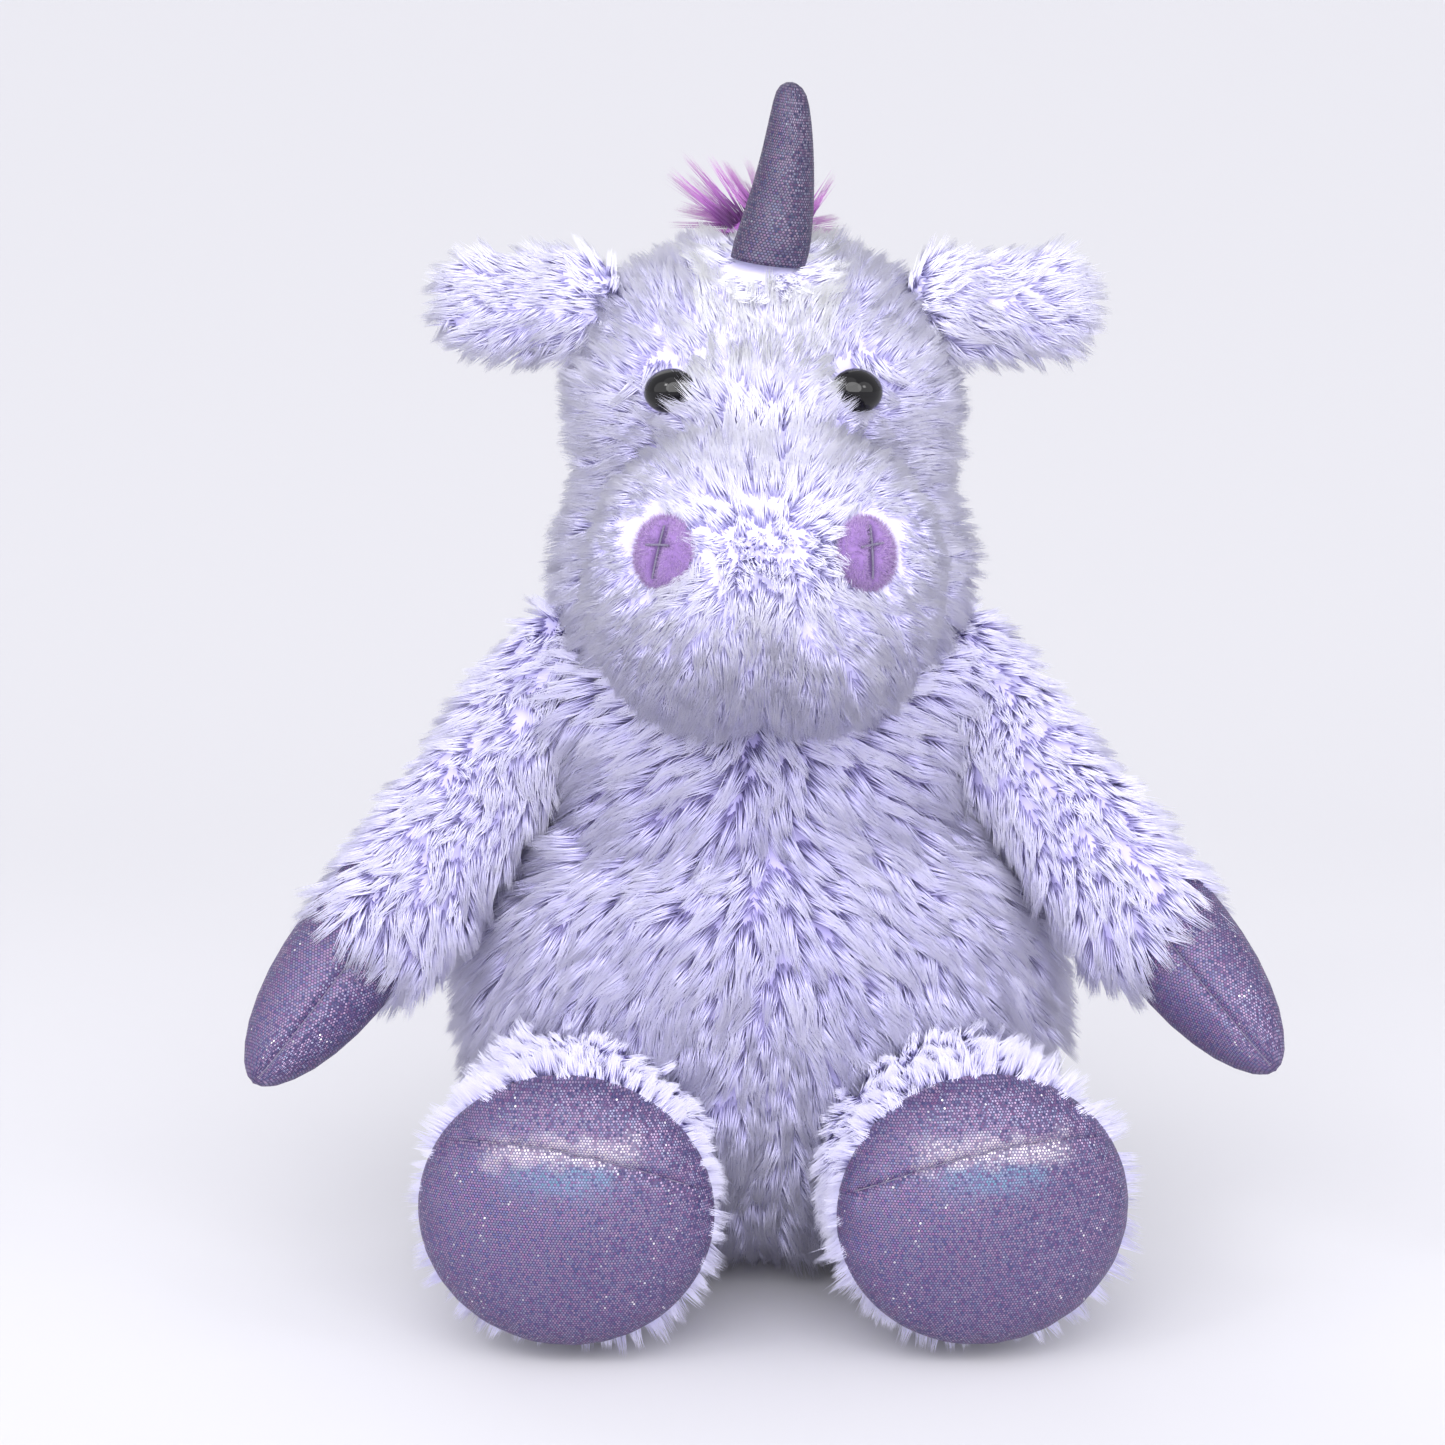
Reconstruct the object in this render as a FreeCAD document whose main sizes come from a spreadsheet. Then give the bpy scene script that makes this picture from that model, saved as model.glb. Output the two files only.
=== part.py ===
import FreeCAD, Part
import os

# Seated plush unicorn, in millimetres. The origin is on the floor under the middle of the seat,
# +Z is up, the face looks along -Y and +X is on the viewer's right. "left" and "right" are the
# viewer's, so the left pieces lie at -X.

doc = FreeCAD.newDocument("PlushUnicorn")
sheet = doc.addObject("Spreadsheet::Sheet", "Sheet")

# A size that starts with "=" follows the sizes it names, so that the toy keeps together when one changes.
SIZES = [
    ("FurDepth", 8, "pile, backing and seam allowance of the long fur"),
    ("LimbFurDepth", 7, "the same on the arms and legs, which are brushed flatter"),
    ("CoverWall", 1.5, "thickness of the shiny knit with its backing"),
    ("JointGap", 0.6, "room between two soft parts that move"),
    ("CutSpan", 300, "size of the blocks that divide the forms into panels"),

    ("BellyHalfWidth", 75.5, "belly ellipsoid, across"),
    ("BellyHalfDepth", 61, "belly ellipsoid, front to back"),
    ("BellyHalfHeight", 75, "belly ellipsoid, up and down"),
    ("BellyMidHeight", "=BellyHalfHeight - 9", "height of the widest part above the floor"),
    ("BellySetBack", 4, "the belly's middle lies this far behind the origin"),
    ("ChestHalfWidth", "=BellyHalfWidth - 19.5", "chest ellipsoid, across"),
    ("ChestHalfDepth", 45, "chest ellipsoid, front to back"),
    ("ChestHalfHeight", 50, "chest ellipsoid, up and down"),
    ("ChestMidHeight", "=NeckHeight - 28", "height of the chest's middle"),
    ("SideSeamBack", 4, "side seam between the front and back panels"),
    ("CollarHeight", "=NeckHeight - 13", "top edge of the body panels"),
    ("PouchHalfWidth", 32, "pellet pouch, across"),
    ("PouchHalfDepth", 20, "pellet pouch, front to back"),
    ("PouchHalfHeight", 18, "pellet pouch, up and down"),
    ("PouchSetBack", 14, "the pouch lies this far behind the origin"),
    ("PouchMidHeight", 22, "height of the pouch's middle"),

    ("NeckRadius", 38, "ball of filling that carries the head"),
    ("NeckHeight", "=BellyMidHeight + BellyHalfHeight - 1", "height of the neck's middle"),
    ("NeckSetBack", 2, "the neck's middle lies this far behind the origin"),

    ("HeadHalfWidth", 49, "head ellipsoid, across"),
    ("HeadHalfDepth", 45, "head ellipsoid, front to back"),
    ("HeadHalfHeight", 57, "head ellipsoid, up and down"),
    ("HeadMidHeight", "=NeckHeight + 45", "height of the head's middle"),
    ("HeadRimHeight", "=NeckHeight + 14", "lower edge of the head panels"),
    ("BlazeHalfWidth", 14, "half the width of the pale strip down the face"),
    ("CrownSplit", 8, "where the strip meets the back of the head, behind the origin"),
    ("MuzzleRadius", 33, "muzzle, a round bolster that lies across the face"),
    ("MuzzleSpread", 7, "middle of the bolster's round ends, from the middle of the face"),
    ("MuzzleForward", "=HeadHalfDepth + 9", "the muzzle's middle lies this far in front of the origin"),
    ("MuzzleHeight", "=HeadMidHeight - 14", "height of the muzzle's middle"),
    ("MouthHeight", "=MuzzleHeight - 15", "seam between the muzzle and the chin"),

    ("EyeSpread", 21, "eye, from the middle of the face"),
    ("EyeHeight", "=HeadMidHeight + 24", "height of the eyes"),
    ("EyeRadius", 6, "12 mm safety eye"),
    ("EyeDome", 3.4, "half the thickness of the eye's button"),
    ("EyeTurn", 24, "how far each eye looks outwards, degrees"),
    ("EyeRise", 14, "how far each eye looks upwards, degrees"),
    ("ShankRadius", 1.7, "stalk of the safety eye"),
    ("ShankLength", 13, "stalk, from the button's middle"),
    ("WasherRadius", 6.5, "lock washer behind the fur"),
    ("WasherThickness", 1.6, "lock washer"),
    ("NostrilSpread", "=MuzzleSpread + MuzzleRadius / 2", "nostril, from the middle of the face"),
    ("NostrilHeight", "=MuzzleHeight + 10", "height of the nostrils"),
    ("NostrilHalfWidth", 7, "nostril patch, across"),
    ("NostrilHalfHeight", 8, "nostril patch, up and down"),
    ("NostrilHalfDepth", 2.2, "nostril patch, half its thickness"),
    ("NostrilTurn", 33, "how far each nostril faces outwards, degrees"),
    ("NostrilRise", 14, "how far each nostril faces upwards, degrees"),
    ("StitchRadius", 0.5, "thread of the nostril stitch"),
    ("StitchLong", 11, "upright stitch"),
    ("StitchShort", 6, "cross stitch"),
    ("StitchRise", 1.7, "the cross stitch lies this far above the middle"),

    ("EarLength", 24, "ear ellipsoid, half its length"),
    ("EarHalfHeight", 13, "ear ellipsoid, half its width"),
    ("EarHalfDepth", 6, "ear ellipsoid, half its thickness"),
    ("EarSpread", "=EarRootSpread + 16", "ear's middle, from the middle of the head"),
    ("EarHeight", "=HeadMidHeight + 40", "height of the ears"),
    ("EarSetBack", 2, "the ears lie this far behind the origin"),
    ("EarRootSpread", "=HeadHalfWidth * 0.816", "root seam of the ear, at the ear's height"),
    ("EarRootSlant", 36, "lean of the root seam towards the crown, degrees"),

    ("HornBaseRadius", 8.5, "horn at its root"),
    ("HornTipRadius", 4.2, "horn at its rounded tip"),
    ("HornLength", 31.5, "root to the middle of the tip"),
    ("HornWall", 1.2, "knit of the horn with its backing"),
    ("HornRootDepth", 5, "how deep the horn is set in below its middle"),
    ("HornSide", 2, "the horn stands this far to the right"),
    ("HornForward", 12, "the horn stands this far in front of the origin"),
    ("HornHeight", "=HeadMidHeight + HeadHalfHeight - 3", "height of the horn's root"),
    ("HornLean", 8, "lean of the horn to the right, degrees"),

    ("ForelockHalfWidth", 13, "tuft behind the horn, across"),
    ("ForelockHalfDepth", 6, "tuft behind the horn, front to back"),
    ("ForelockHalfHeight", 15, "tuft behind the horn, up and down"),
    ("ForelockSetBack", 7, "the tuft lies this far behind the origin"),
    ("ForelockHeight", "=HeadMidHeight + HeadHalfHeight + 5", "height of the tuft's middle"),
    ("ManeHalfWidth", 12, "mane, across"),
    ("ManeHalfDepth", 13, "mane, front to back"),
    ("ManeHalfHeight", 42, "mane, up and down"),
    ("ManeSetBack", "=HeadHalfDepth - 4", "the mane lies this far behind the origin"),
    ("ManeHeight", "=HeadMidHeight + 21", "height of the mane's middle"),

    ("ShoulderSpread", "=ShoulderSeat + 4", "arm's middle line at the shoulder"),
    ("ShoulderSetBack", 3, "the shoulders lie this far behind the origin"),
    ("ShoulderHeight", "=NeckHeight - 6", "height of the shoulders"),
    ("ShoulderSeat", "=BellyHalfWidth - 29.5", "deepest point of the shoulder seam"),
    ("ShoulderSeatReach", "=BellyHalfWidth + 0.5 - ShoulderSeat",
     "how far the shoulder seam spreads outwards"),
    ("ShoulderSeatRadius", 52, "radius of the shoulder seam at its outer end"),
    ("ArmRootRadius", 18, "arm at the shoulder"),
    ("ArmCuffRadius", 20, "arm at the hoof"),
    ("ArmCuffRoll", 6, "length that the fur turns in over the hoof"),
    ("ArmFurLength", 73, "shoulder to the start of the turned-in fur"),
    ("ArmOut", 34, "lean of the arms outwards, degrees"),
    ("ArmLeftForward", 33, "lean of the left arm forwards, degrees"),
    ("ArmRightForward", 38, "lean of the right arm forwards, degrees"),
    ("HoofHalfWidth", "=ArmCuffRadius - 6.5", "arm hoof, across"),
    ("HoofHalfDepth", "=ArmCuffRadius - 8", "arm hoof, front to back"),
    ("HoofHalfLength", 28, "arm hoof, along the arm"),
    ("HoofDistance", 86, "shoulder to the hoof's middle"),
    ("HoofTuckIn", 4, "length of hoof cover sewn inside the fur"),

    ("HipSpread", "=LegRadius + 5", "hip, from the middle"),
    ("HipForward", "=BellyHalfDepth - 25", "the hips lie this far in front of the origin"),
    ("LegRadius", 35, "leg with its fur, which rests on the floor"),
    ("LegFurLength", 50, "hip to the front edge of the fur"),
    ("LegLeftTurn", 4, "left leg points outwards, degrees"),
    ("LegRightTurn", 10, "right leg points outwards, degrees"),
    ("LegLift", 12, "how far a leg lifts from rest, degrees"),
    ("LegDrop", 25, "how far a leg hangs from rest, degrees"),
    ("LegSweepSlack", 0.4, "extra room between the steps of the leg's sweep"),
    ("SoleHalfWidth", "=LegRadius - 2.5", "sole, across"),
    ("SoleHalfHeight", "=LegRadius - 4.5", "sole, up and down"),
    ("SoleCrown", 14, "how far the sole bulges"),
    ("SoleDistance", 45, "hip to the sole's widest section"),
    ("SoleTuckIn", 4, "length of the sole's cover sewn inside the fur"),
    ("SoleSeamRise", 11, "seam between the sole and the hoof cap, above the leg's middle"),

    ("TailHalfWidth", 9, "tail, across"),
    ("TailHalfDepth", 7.5, "tail, front to back"),
    ("TailHalfHeight", 22, "tail, up and down"),
    ("TailSetBack", "=BellySetBack + BellyHalfDepth + 7", "the tail lies this far behind the origin"),
    ("TailHeight", 30, "height of the tail's middle"),
]

for row, (alias, _, note) in enumerate(SIZES, start=1):
    sheet.setAlias(f"A{row}", alias)
    sheet.set(f"B{row}", note)
for row, (_, value, _) in enumerate(SIZES, start=1):
    sheet.set(f"A{row}", str(value))
doc.recompute()

nodes = {}


def at(x="0", y="0", z="0", turn="rotation(0; 0; 0)"):
    """Placement expression from three position expressions and a rotation."""
    return f"placement(vector({x}; {y}; {z}); {turn})"


def bind(obj, place=None, **sizes):
    """Ties an object's sizes, and its place, to cells of the sheet."""
    for prop, expression in sizes.items():
        obj.setExpression(prop, expression)
    if place:
        obj.setExpression("Placement", place)
    return obj


def ellipsoid(name, across, deep, high, place=None):
    return bind(doc.addObject("Part::Ellipsoid", name), place,
                Radius1=high, Radius2=across, Radius3=deep)


def sphere(name, radius, place=None):
    return bind(doc.addObject("Part::Sphere", name), place, Radius=radius)


def cylinder(name, radius, length, place=None):
    return bind(doc.addObject("Part::Cylinder", name), place, Radius=radius, Height=length)


def cone(name, start, end, length, place=None):
    return bind(doc.addObject("Part::Cone", name), place, Radius1=start, Radius2=end, Height=length)


def block(name, x=None, y=None, z=None, turn="rotation(0; 0; 0)", origin=("0", "0", "0")):
    """A cutting block. Each of x, y and z is a pair of limits, where None is as far as it goes."""
    limits = []
    for pair in (x, y, z):
        low, high = pair or (None, None)
        limits.append((low or "-Sheet.CutSpan", high or "Sheet.CutSpan"))
    corner = at(*(low for low, high in limits))
    length, width, height = (f"({high}) - ({low})" for low, high in limits)
    return bind(doc.addObject("Part::Box", name), f"{at(*origin, turn)} * {corner}",
                Length=length, Width=width, Height=height)


def boolean(kind, name):
    """A boolean that keeps its faces as they are, since curved forms don't merge cleanly."""
    obj = doc.addObject(kind, name)
    obj.Refine = False
    return obj


def fuse(name, *parts, place=None):
    obj = boolean("Part::MultiFuse", name)
    obj.Shapes = list(parts)
    return bind(obj, place)


def cut(name, base, *tools, place=None):
    """Takes the tools away from the base one after another."""
    for count, tool in enumerate(tools, start=1):
        obj = boolean("Part::Cut", name if count == len(tools) else f"{name}Step{count}")
        obj.Base = base
        obj.Tool = tool
        base = obj
    return bind(base, place)


def common(name, *parts, place=None):
    obj = boolean("Part::MultiCommon", name)
    obj.Shapes = list(parts)
    return bind(obj, place)


def node(name, obj):
    """Names a finished sub-part."""
    obj.Label = name
    nodes[name] = obj
    return obj


# The two sides: name, sign of X, and the sheet's word for that side.
SIDES = (("left", -1, "Left"), ("right", 1, "Right"))


# ---- Neck: one ball of filling, round which the head turns and nods ----

NECK_AT = at("0", "Sheet.NeckSetBack", "Sheet.NeckHeight")
node("neck_stuffing", sphere("NeckBall", "Sheet.NeckRadius", NECK_AT))
neck_room = sphere("NeckRoom", "Sheet.NeckRadius + Sheet.JointGap", NECK_AT)


# ---- Room that the arms and legs need in the body ----

def side_axis(side):
    """Rotation that lays a primitive's own axis outwards along X."""
    return f"rotationy({90 * side})"


def shoulder_place(side, gap="0"):
    return at(f"{side} * (Sheet.ShoulderSeat + {gap})", "Sheet.ShoulderSetBack",
              "Sheet.ShoulderHeight", side_axis(side))


def shoulder_seat(word, side):
    """The hollow cone in the body's side that takes the arm's root."""
    return cone(f"{word}ShoulderSeat", "0", "Sheet.ShoulderSeatRadius", "Sheet.ShoulderSeatReach",
                shoulder_place(side))


def arm_zone(word, side):
    """All the space that an arm may fill: the shoulder's cone and everything outside it."""
    mouth = cone(f"{word}ArmMouth", "0", "Sheet.ShoulderSeatRadius", "Sheet.ShoulderSeatReach",
                 shoulder_place(side, "Sheet.JointGap"))
    outside = cylinder(f"{word}ArmOutside", "Sheet.CutSpan", "Sheet.CutSpan",
                       shoulder_place(side, "Sheet.JointGap + Sheet.ShoulderSeatReach"))
    return fuse(f"{word}ArmZone", mouth, outside)


def leg_place(word, side):
    return at(f"{side} * Sheet.HipSpread", "-Sheet.HipForward", "Sheet.LegRadius",
              f"rotationz({side} * Sheet.Leg{word}Turn)")


def leg_room(word, side):
    """The leg's ball and its tube, swept from lifted to hanging, with room round them."""
    parts = [sphere(f"{word}HipRoom", "Sheet.LegRadius + Sheet.JointGap")]
    steps = 4
    for step in range(steps + 1):
        tilt = f"(Sheet.LegDrop + Sheet.LegLift) * {step / steps} - Sheet.LegLift"
        parts.append(cylinder(f"{word}LegRoom{step}",
                              "Sheet.LegRadius + Sheet.JointGap + Sheet.LegSweepSlack",
                              "Sheet.LegFurLength", at(turn=f"rotationx(90 + {tilt})")))
    return fuse(f"{word}LegSweep", *parts, place=leg_place(word, side))


limb_rooms = []
for _, side, word in SIDES:
    limb_rooms.append(shoulder_seat(word, side))
    limb_rooms.append(leg_room(word, side))


# ---- Body: four fur panels and a base round one form of filling ----

def body_form(name, wall, floor):
    """The body's shape, drawn in by a wall thickness and open upwards at the collar."""
    belly = ellipsoid(f"{name}Belly", f"Sheet.BellyHalfWidth - {wall}", f"Sheet.BellyHalfDepth - {wall}",
                      f"Sheet.BellyHalfHeight - {wall}",
                      at("0", "Sheet.BellySetBack", "Sheet.BellyMidHeight"))
    chest = ellipsoid(f"{name}Chest", f"Sheet.ChestHalfWidth - {wall}", f"Sheet.ChestHalfDepth - {wall}",
                      f"Sheet.ChestHalfHeight - {wall}", at("0", "Sheet.NeckSetBack", "Sheet.ChestMidHeight"))
    layer = block(f"{name}Height", z=(floor, "Sheet.CollarHeight"))
    return common(name, fuse(f"{name}Whole", belly, chest), layer)


body_outside = body_form("BodyOutside", "0", "0")
body_inside = body_form("BodyInside", "Sheet.FurDepth", "Sheet.FurDepth")
body_walls = cut("BodyWalls", body_outside, body_inside, neck_room, *limb_rooms)
above_base = "Sheet.FurDepth"
LEFT, RIGHT = (None, "0"), ("0", None)
FRONT, BACK = (None, "Sheet.SideSeamBack"), ("Sheet.SideSeamBack", None)
for name, across, deep in (("body_front_left", LEFT, FRONT), ("body_front_right", RIGHT, FRONT),
                           ("body_back_left", LEFT, BACK), ("body_back_right", RIGHT, BACK)):
    region = block(f"{name}_region", across, deep, (above_base, None))
    node(name, common(f"{name}_panel", body_walls, region))

node("body_base", common("BasePanel", body_walls, block("BaseRegion", z=(None, above_base))))

pouch_form = ellipsoid("PouchForm", "Sheet.PouchHalfWidth", "Sheet.PouchHalfDepth", "Sheet.PouchHalfHeight",
                       at("0", "Sheet.PouchSetBack", "Sheet.PouchMidHeight"))
pouch = node("pellet_pouch", common("Pouch", pouch_form, block("PouchRegion", z=(above_base, None))))
node("body_stuffing", cut("BodyFilling", body_inside, neck_room, *limb_rooms, pouch))


# ---- Head ----

def head_form(name, wall):
    whole = ellipsoid(f"{name}Whole", f"Sheet.HeadHalfWidth - {wall}", f"Sheet.HeadHalfDepth - {wall}",
                      f"Sheet.HeadHalfHeight - {wall}", at(z="Sheet.HeadMidHeight"))
    return common(name, whole, block(f"{name}Height", z=("Sheet.HeadRimHeight", None)))


def muzzle_form(name, wall):
    radius = f"Sheet.MuzzleRadius - {wall}"
    ends = [sphere(f"{name}{word}End", radius, at(f"{side} * Sheet.MuzzleSpread", "-Sheet.MuzzleForward",
                                                  "Sheet.MuzzleHeight"))
            for _, side, word in SIDES]
    middle = cylinder(f"{name}Middle", radius, "2 * Sheet.MuzzleSpread",
                      at("-Sheet.MuzzleSpread", "-Sheet.MuzzleForward", "Sheet.MuzzleHeight",
                         "rotationy(90)"))
    return fuse(name, middle, *ends)


def face_depth(spread, height, middle_y, middle_z, across, deep, high):
    """Expression for the Y of a point on the front of an ellipsoid."""
    return (f"{middle_y} - {deep} * sqrt(1 - ({spread} / {across}) ^ 2"
            f" - (({height} - {middle_z}) / {high}) ^ 2)")


def face_place(side, spread, height, y, turn, rise):
    """Placement of a thing on the face whose own Z axis points out of the fur."""
    return at(f"{side} * {spread}", y, height, f"rotationz({side} * {turn}) * rotationx(90 - {rise})")


EYE_Y = face_depth("Sheet.EyeSpread", "Sheet.EyeHeight", "0", "Sheet.HeadMidHeight",
                   "Sheet.HeadHalfWidth", "Sheet.HeadHalfDepth", "Sheet.HeadHalfHeight")
NOSTRIL_Y = face_depth("(Sheet.NostrilSpread - Sheet.MuzzleSpread)", "Sheet.NostrilHeight",
                       "-Sheet.MuzzleForward", "Sheet.MuzzleHeight", "Sheet.MuzzleRadius",
                       "Sheet.MuzzleRadius", "Sheet.MuzzleRadius")


def safety_eye(name, word, side):
    """A glossy button on a stalk, and the washer that locks it behind the fur."""
    place = face_place(side, "Sheet.EyeSpread", "Sheet.EyeHeight", EYE_Y, "Sheet.EyeTurn", "Sheet.EyeRise")
    button = ellipsoid(f"{word}EyeButton", "Sheet.EyeRadius", "Sheet.EyeRadius", "Sheet.EyeDome")
    stalk = cylinder(f"{word}EyeStalk", "Sheet.ShankRadius", "Sheet.ShankLength",
                     at(z="-Sheet.ShankLength"))
    eye = node(f"eye_{name}", fuse(f"{word}Eye", button, stalk, place=place))
    disc = cylinder(f"{word}WasherDisc", "Sheet.WasherRadius", "Sheet.WasherThickness",
                    at(z="-Sheet.FurDepth - Sheet.WasherThickness"))
    bore = cylinder(f"{word}WasherBore", "Sheet.ShankRadius", "Sheet.ShankLength",
                    at(z="-Sheet.ShankLength"))
    washer = node(f"eye_washer_{name}", cut(f"{word}Washer", disc, bore, place=place))
    return eye, washer


def nostril_stitch(name, word, place):
    """The thread that draws a nostril in: an upright and a cross stitch."""
    depth = "Sheet.NostrilHalfDepth - Sheet.StitchRadius"
    upright = cylinder(f"{word}StitchUpright", "Sheet.StitchRadius", "Sheet.StitchLong",
                       at("0", "Sheet.StitchLong / 2", depth, "rotationx(90)"))
    cross = cylinder(f"{word}StitchCross", "Sheet.StitchRadius", "Sheet.StitchShort",
                     at("-Sheet.StitchShort / 2", "Sheet.StitchRise", depth, "rotationy(90)"))
    return node(f"nostril_stitch_{name}", fuse(f"{word}Stitch", upright, cross, place=place))


face_trim = []
for name, side, word in SIDES:
    face_trim.extend(safety_eye(name, word, side))
    nostril_at = face_place(side, "Sheet.NostrilSpread", "Sheet.NostrilHeight", NOSTRIL_Y,
                            "Sheet.NostrilTurn", "Sheet.NostrilRise")
    patch = ellipsoid(f"{word}NostrilForm", "Sheet.NostrilHalfWidth", "Sheet.NostrilHalfHeight",
                      "Sheet.NostrilHalfDepth", nostril_at)
    stitch = nostril_stitch(name, word, nostril_at)
    node(f"nostril_{name}", patch)
    face_trim.extend((patch, stitch))

head_outside = head_form("HeadOutside", "0")
head_inside = head_form("HeadInside", "Sheet.FurDepth")
muzzle_outside = muzzle_form("MuzzleOutside", "0")
muzzle_inside = muzzle_form("MuzzleInside", "Sheet.FurDepth")

HORN_AT = at("Sheet.HornSide", "-Sheet.HornForward", "Sheet.HornHeight", "rotationy(Sheet.HornLean)")
horn_room = sphere("HornRoom", "Sheet.HornBaseRadius + Sheet.JointGap", HORN_AT)
head_cuts = (neck_room, horn_room, *face_trim)

head_walls = cut("HeadWalls", head_outside, head_inside, muzzle_outside, *head_cuts)
STRIP = ("-Sheet.BlazeHalfWidth", "Sheet.BlazeHalfWidth")
FACE, NAPE = (None, "Sheet.CrownSplit"), ("Sheet.CrownSplit", None)
for name, across, deep in (("head_side_left", (None, STRIP[0]), None), ("blaze", STRIP, FACE),
                           ("head_back", STRIP, NAPE), ("head_side_right", (STRIP[1], None), None)):
    region = block(f"{name}_region", across, deep)
    node(name, common(f"{name}_panel", head_walls, region))

muzzle_walls = cut("MuzzleWalls", muzzle_outside, muzzle_inside, head_inside, *head_cuts)
for name, height in (("muzzle", ("Sheet.MouthHeight", None)), ("chin", (None, "Sheet.MouthHeight"))):
    node(name, common(f"{name}_panel", muzzle_walls, block(f"{name}_region", z=height)))

node("head_stuffing", cut("HeadFilling", head_inside, *head_cuts))
node("muzzle_stuffing", cut("MuzzleFilling", muzzle_inside, neck_room, head_inside, *face_trim))


# ---- Horn, forelock and mane ----

def horn_form(name, wall, place=None):
    """A round-tipped cone on a ball, cut flat where it is set into the head."""
    shaft = cone(f"{name}Shaft", f"Sheet.HornBaseRadius - {wall}", f"Sheet.HornTipRadius - {wall}",
                 "Sheet.HornLength")
    tip = sphere(f"{name}Tip", f"Sheet.HornTipRadius - {wall}", at(z="Sheet.HornLength"))
    root = sphere(f"{name}Root", f"Sheet.HornBaseRadius - {wall}")
    whole = fuse(f"{name}Whole", shaft, tip, root)
    return common(name, whole, block(f"{name}Height", z=("-Sheet.HornRootDepth", None)), place=place)


horn_outside = horn_form("HornOutside", "0", HORN_AT)
horn_inside = node("horn_stuffing", horn_form("HornInside", "Sheet.HornWall", HORN_AT))
node("horn_cover", cut("HornCover", horn_outside, horn_inside))

forelock_form = ellipsoid("ForelockForm", "Sheet.ForelockHalfWidth", "Sheet.ForelockHalfDepth",
                          "Sheet.ForelockHalfHeight",
                          at("Sheet.HornSide", "Sheet.ForelockSetBack", "Sheet.ForelockHeight"))
node("forelock", cut("Forelock", forelock_form, head_outside))
mane_form = ellipsoid("ManeForm", "Sheet.ManeHalfWidth", "Sheet.ManeHalfDepth", "Sheet.ManeHalfHeight",
                      at("0", "Sheet.ManeSetBack", "Sheet.ManeHeight"))
node("mane", cut("Mane", mane_form, head_outside, forelock_form))


# ---- Ears: a front and a back panel each, sewn on along a slanting root seam ----

def ear(name, side, word):
    pad = ellipsoid(f"{word}EarForm", "Sheet.EarLength", "Sheet.EarHalfDepth", "Sheet.EarHalfHeight",
                    at(f"{side} * Sheet.EarSpread", "Sheet.EarSetBack", "Sheet.EarHeight"))
    beyond_root = ("0", None) if side > 0 else (None, "0")
    zone = block(f"{word}EarZone", beyond_root, turn=f"rotationy({-side} * Sheet.EarRootSlant)",
                 origin=(f"{side} * Sheet.EarRootSpread", "0", "Sheet.EarHeight"))
    for face, deep in (("front", (None, "Sheet.EarSetBack")), ("back", ("Sheet.EarSetBack", None))):
        half = block(f"{word}Ear_{face}_region", y=deep)
        node(f"ear_{name}_{face}", common(f"{word}Ear_{face}_panel", pad, zone, half))


for name, side, word in SIDES:
    ear(name, side, word)


# ---- Arms: front and back fur, a hoof of two shiny halves, and the filling ----

def arm_tube(name, wall, length):
    """A round shoulder with a tube that widens towards the hoof, hanging down its own -Z."""
    shoulder = sphere(f"{name}Shoulder", f"Sheet.ArmRootRadius - {wall}")
    tube = cone(f"{name}Tube", f"Sheet.ArmCuffRadius - {wall}", f"Sheet.ArmRootRadius - {wall}",
                length, at(z=f"-({length})"))
    return [shoulder, tube]


def hoof_form(name, wall):
    return ellipsoid(name, f"Sheet.HoofHalfWidth - {wall}", f"Sheet.HoofHalfDepth - {wall}",
                     f"Sheet.HoofHalfLength - {wall}", at(z="-Sheet.HoofDistance"))


def arm(name, side, word):
    place = at(f"{side} * Sheet.ShoulderSpread", "Sheet.ShoulderSetBack", "Sheet.ShoulderHeight",
               f"rotationx(-Sheet.Arm{word}Forward) * rotationy({-side} * Sheet.ArmOut)")
    zone = arm_zone(word, side)
    roll = cone(f"{word}ArmRoll", "Sheet.HoofHalfWidth", "Sheet.ArmCuffRadius", "Sheet.ArmCuffRoll",
                at(z="-Sheet.ArmFurLength - Sheet.ArmCuffRoll"))
    outside = fuse(f"{word}ArmForm", *arm_tube(f"{word}ArmOuter", "0", "Sheet.ArmFurLength"), roll)
    inside = fuse(f"{word}ArmInside", *arm_tube(f"{word}ArmInner", "Sheet.LimbFurDepth",
                                                "Sheet.ArmFurLength - Sheet.HoofTuckIn"))
    hoof_outside = hoof_form(f"{word}HoofOutside", "0")
    hoof_inside = hoof_form(f"{word}HoofInside", "Sheet.CoverWall")

    fur = cut(f"{word}ArmFur", outside, inside, hoof_outside)
    for face, deep in (("front", (None, "0")), ("back", ("0", None))):
        panel = common(f"{word}Arm_{face}", fur, block(f"{word}Arm_{face}_region", y=deep), place=place)
        node(f"arm_{name}_{face}", common(f"{word}Arm_{face}_panel", panel, zone))

    cover = cut(f"{word}HoofCover", hoof_outside, hoof_inside)
    showing = (None, "Sheet.HoofTuckIn - Sheet.ArmFurLength")
    for half, across in (("inner", side < 0), ("outer", side > 0)):
        region = block(f"{word}Hoof_{half}_region", ("0", None) if across else (None, "0"), z=showing)
        node(f"arm_hoof_{name}_{half}", common(f"{word}Hoof_{half}", cover, region, place=place))

    filling = fuse(f"{word}ArmFilling", inside, hoof_inside, place=place)
    node(f"arm_stuffing_{name}", common(f"{word}Arm_filling_piece", filling, zone))


for name, side, word in SIDES:
    arm(name, side, word)


# ---- Legs: upper and under fur, a shiny sole under a hoof cap, and the filling ----

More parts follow.
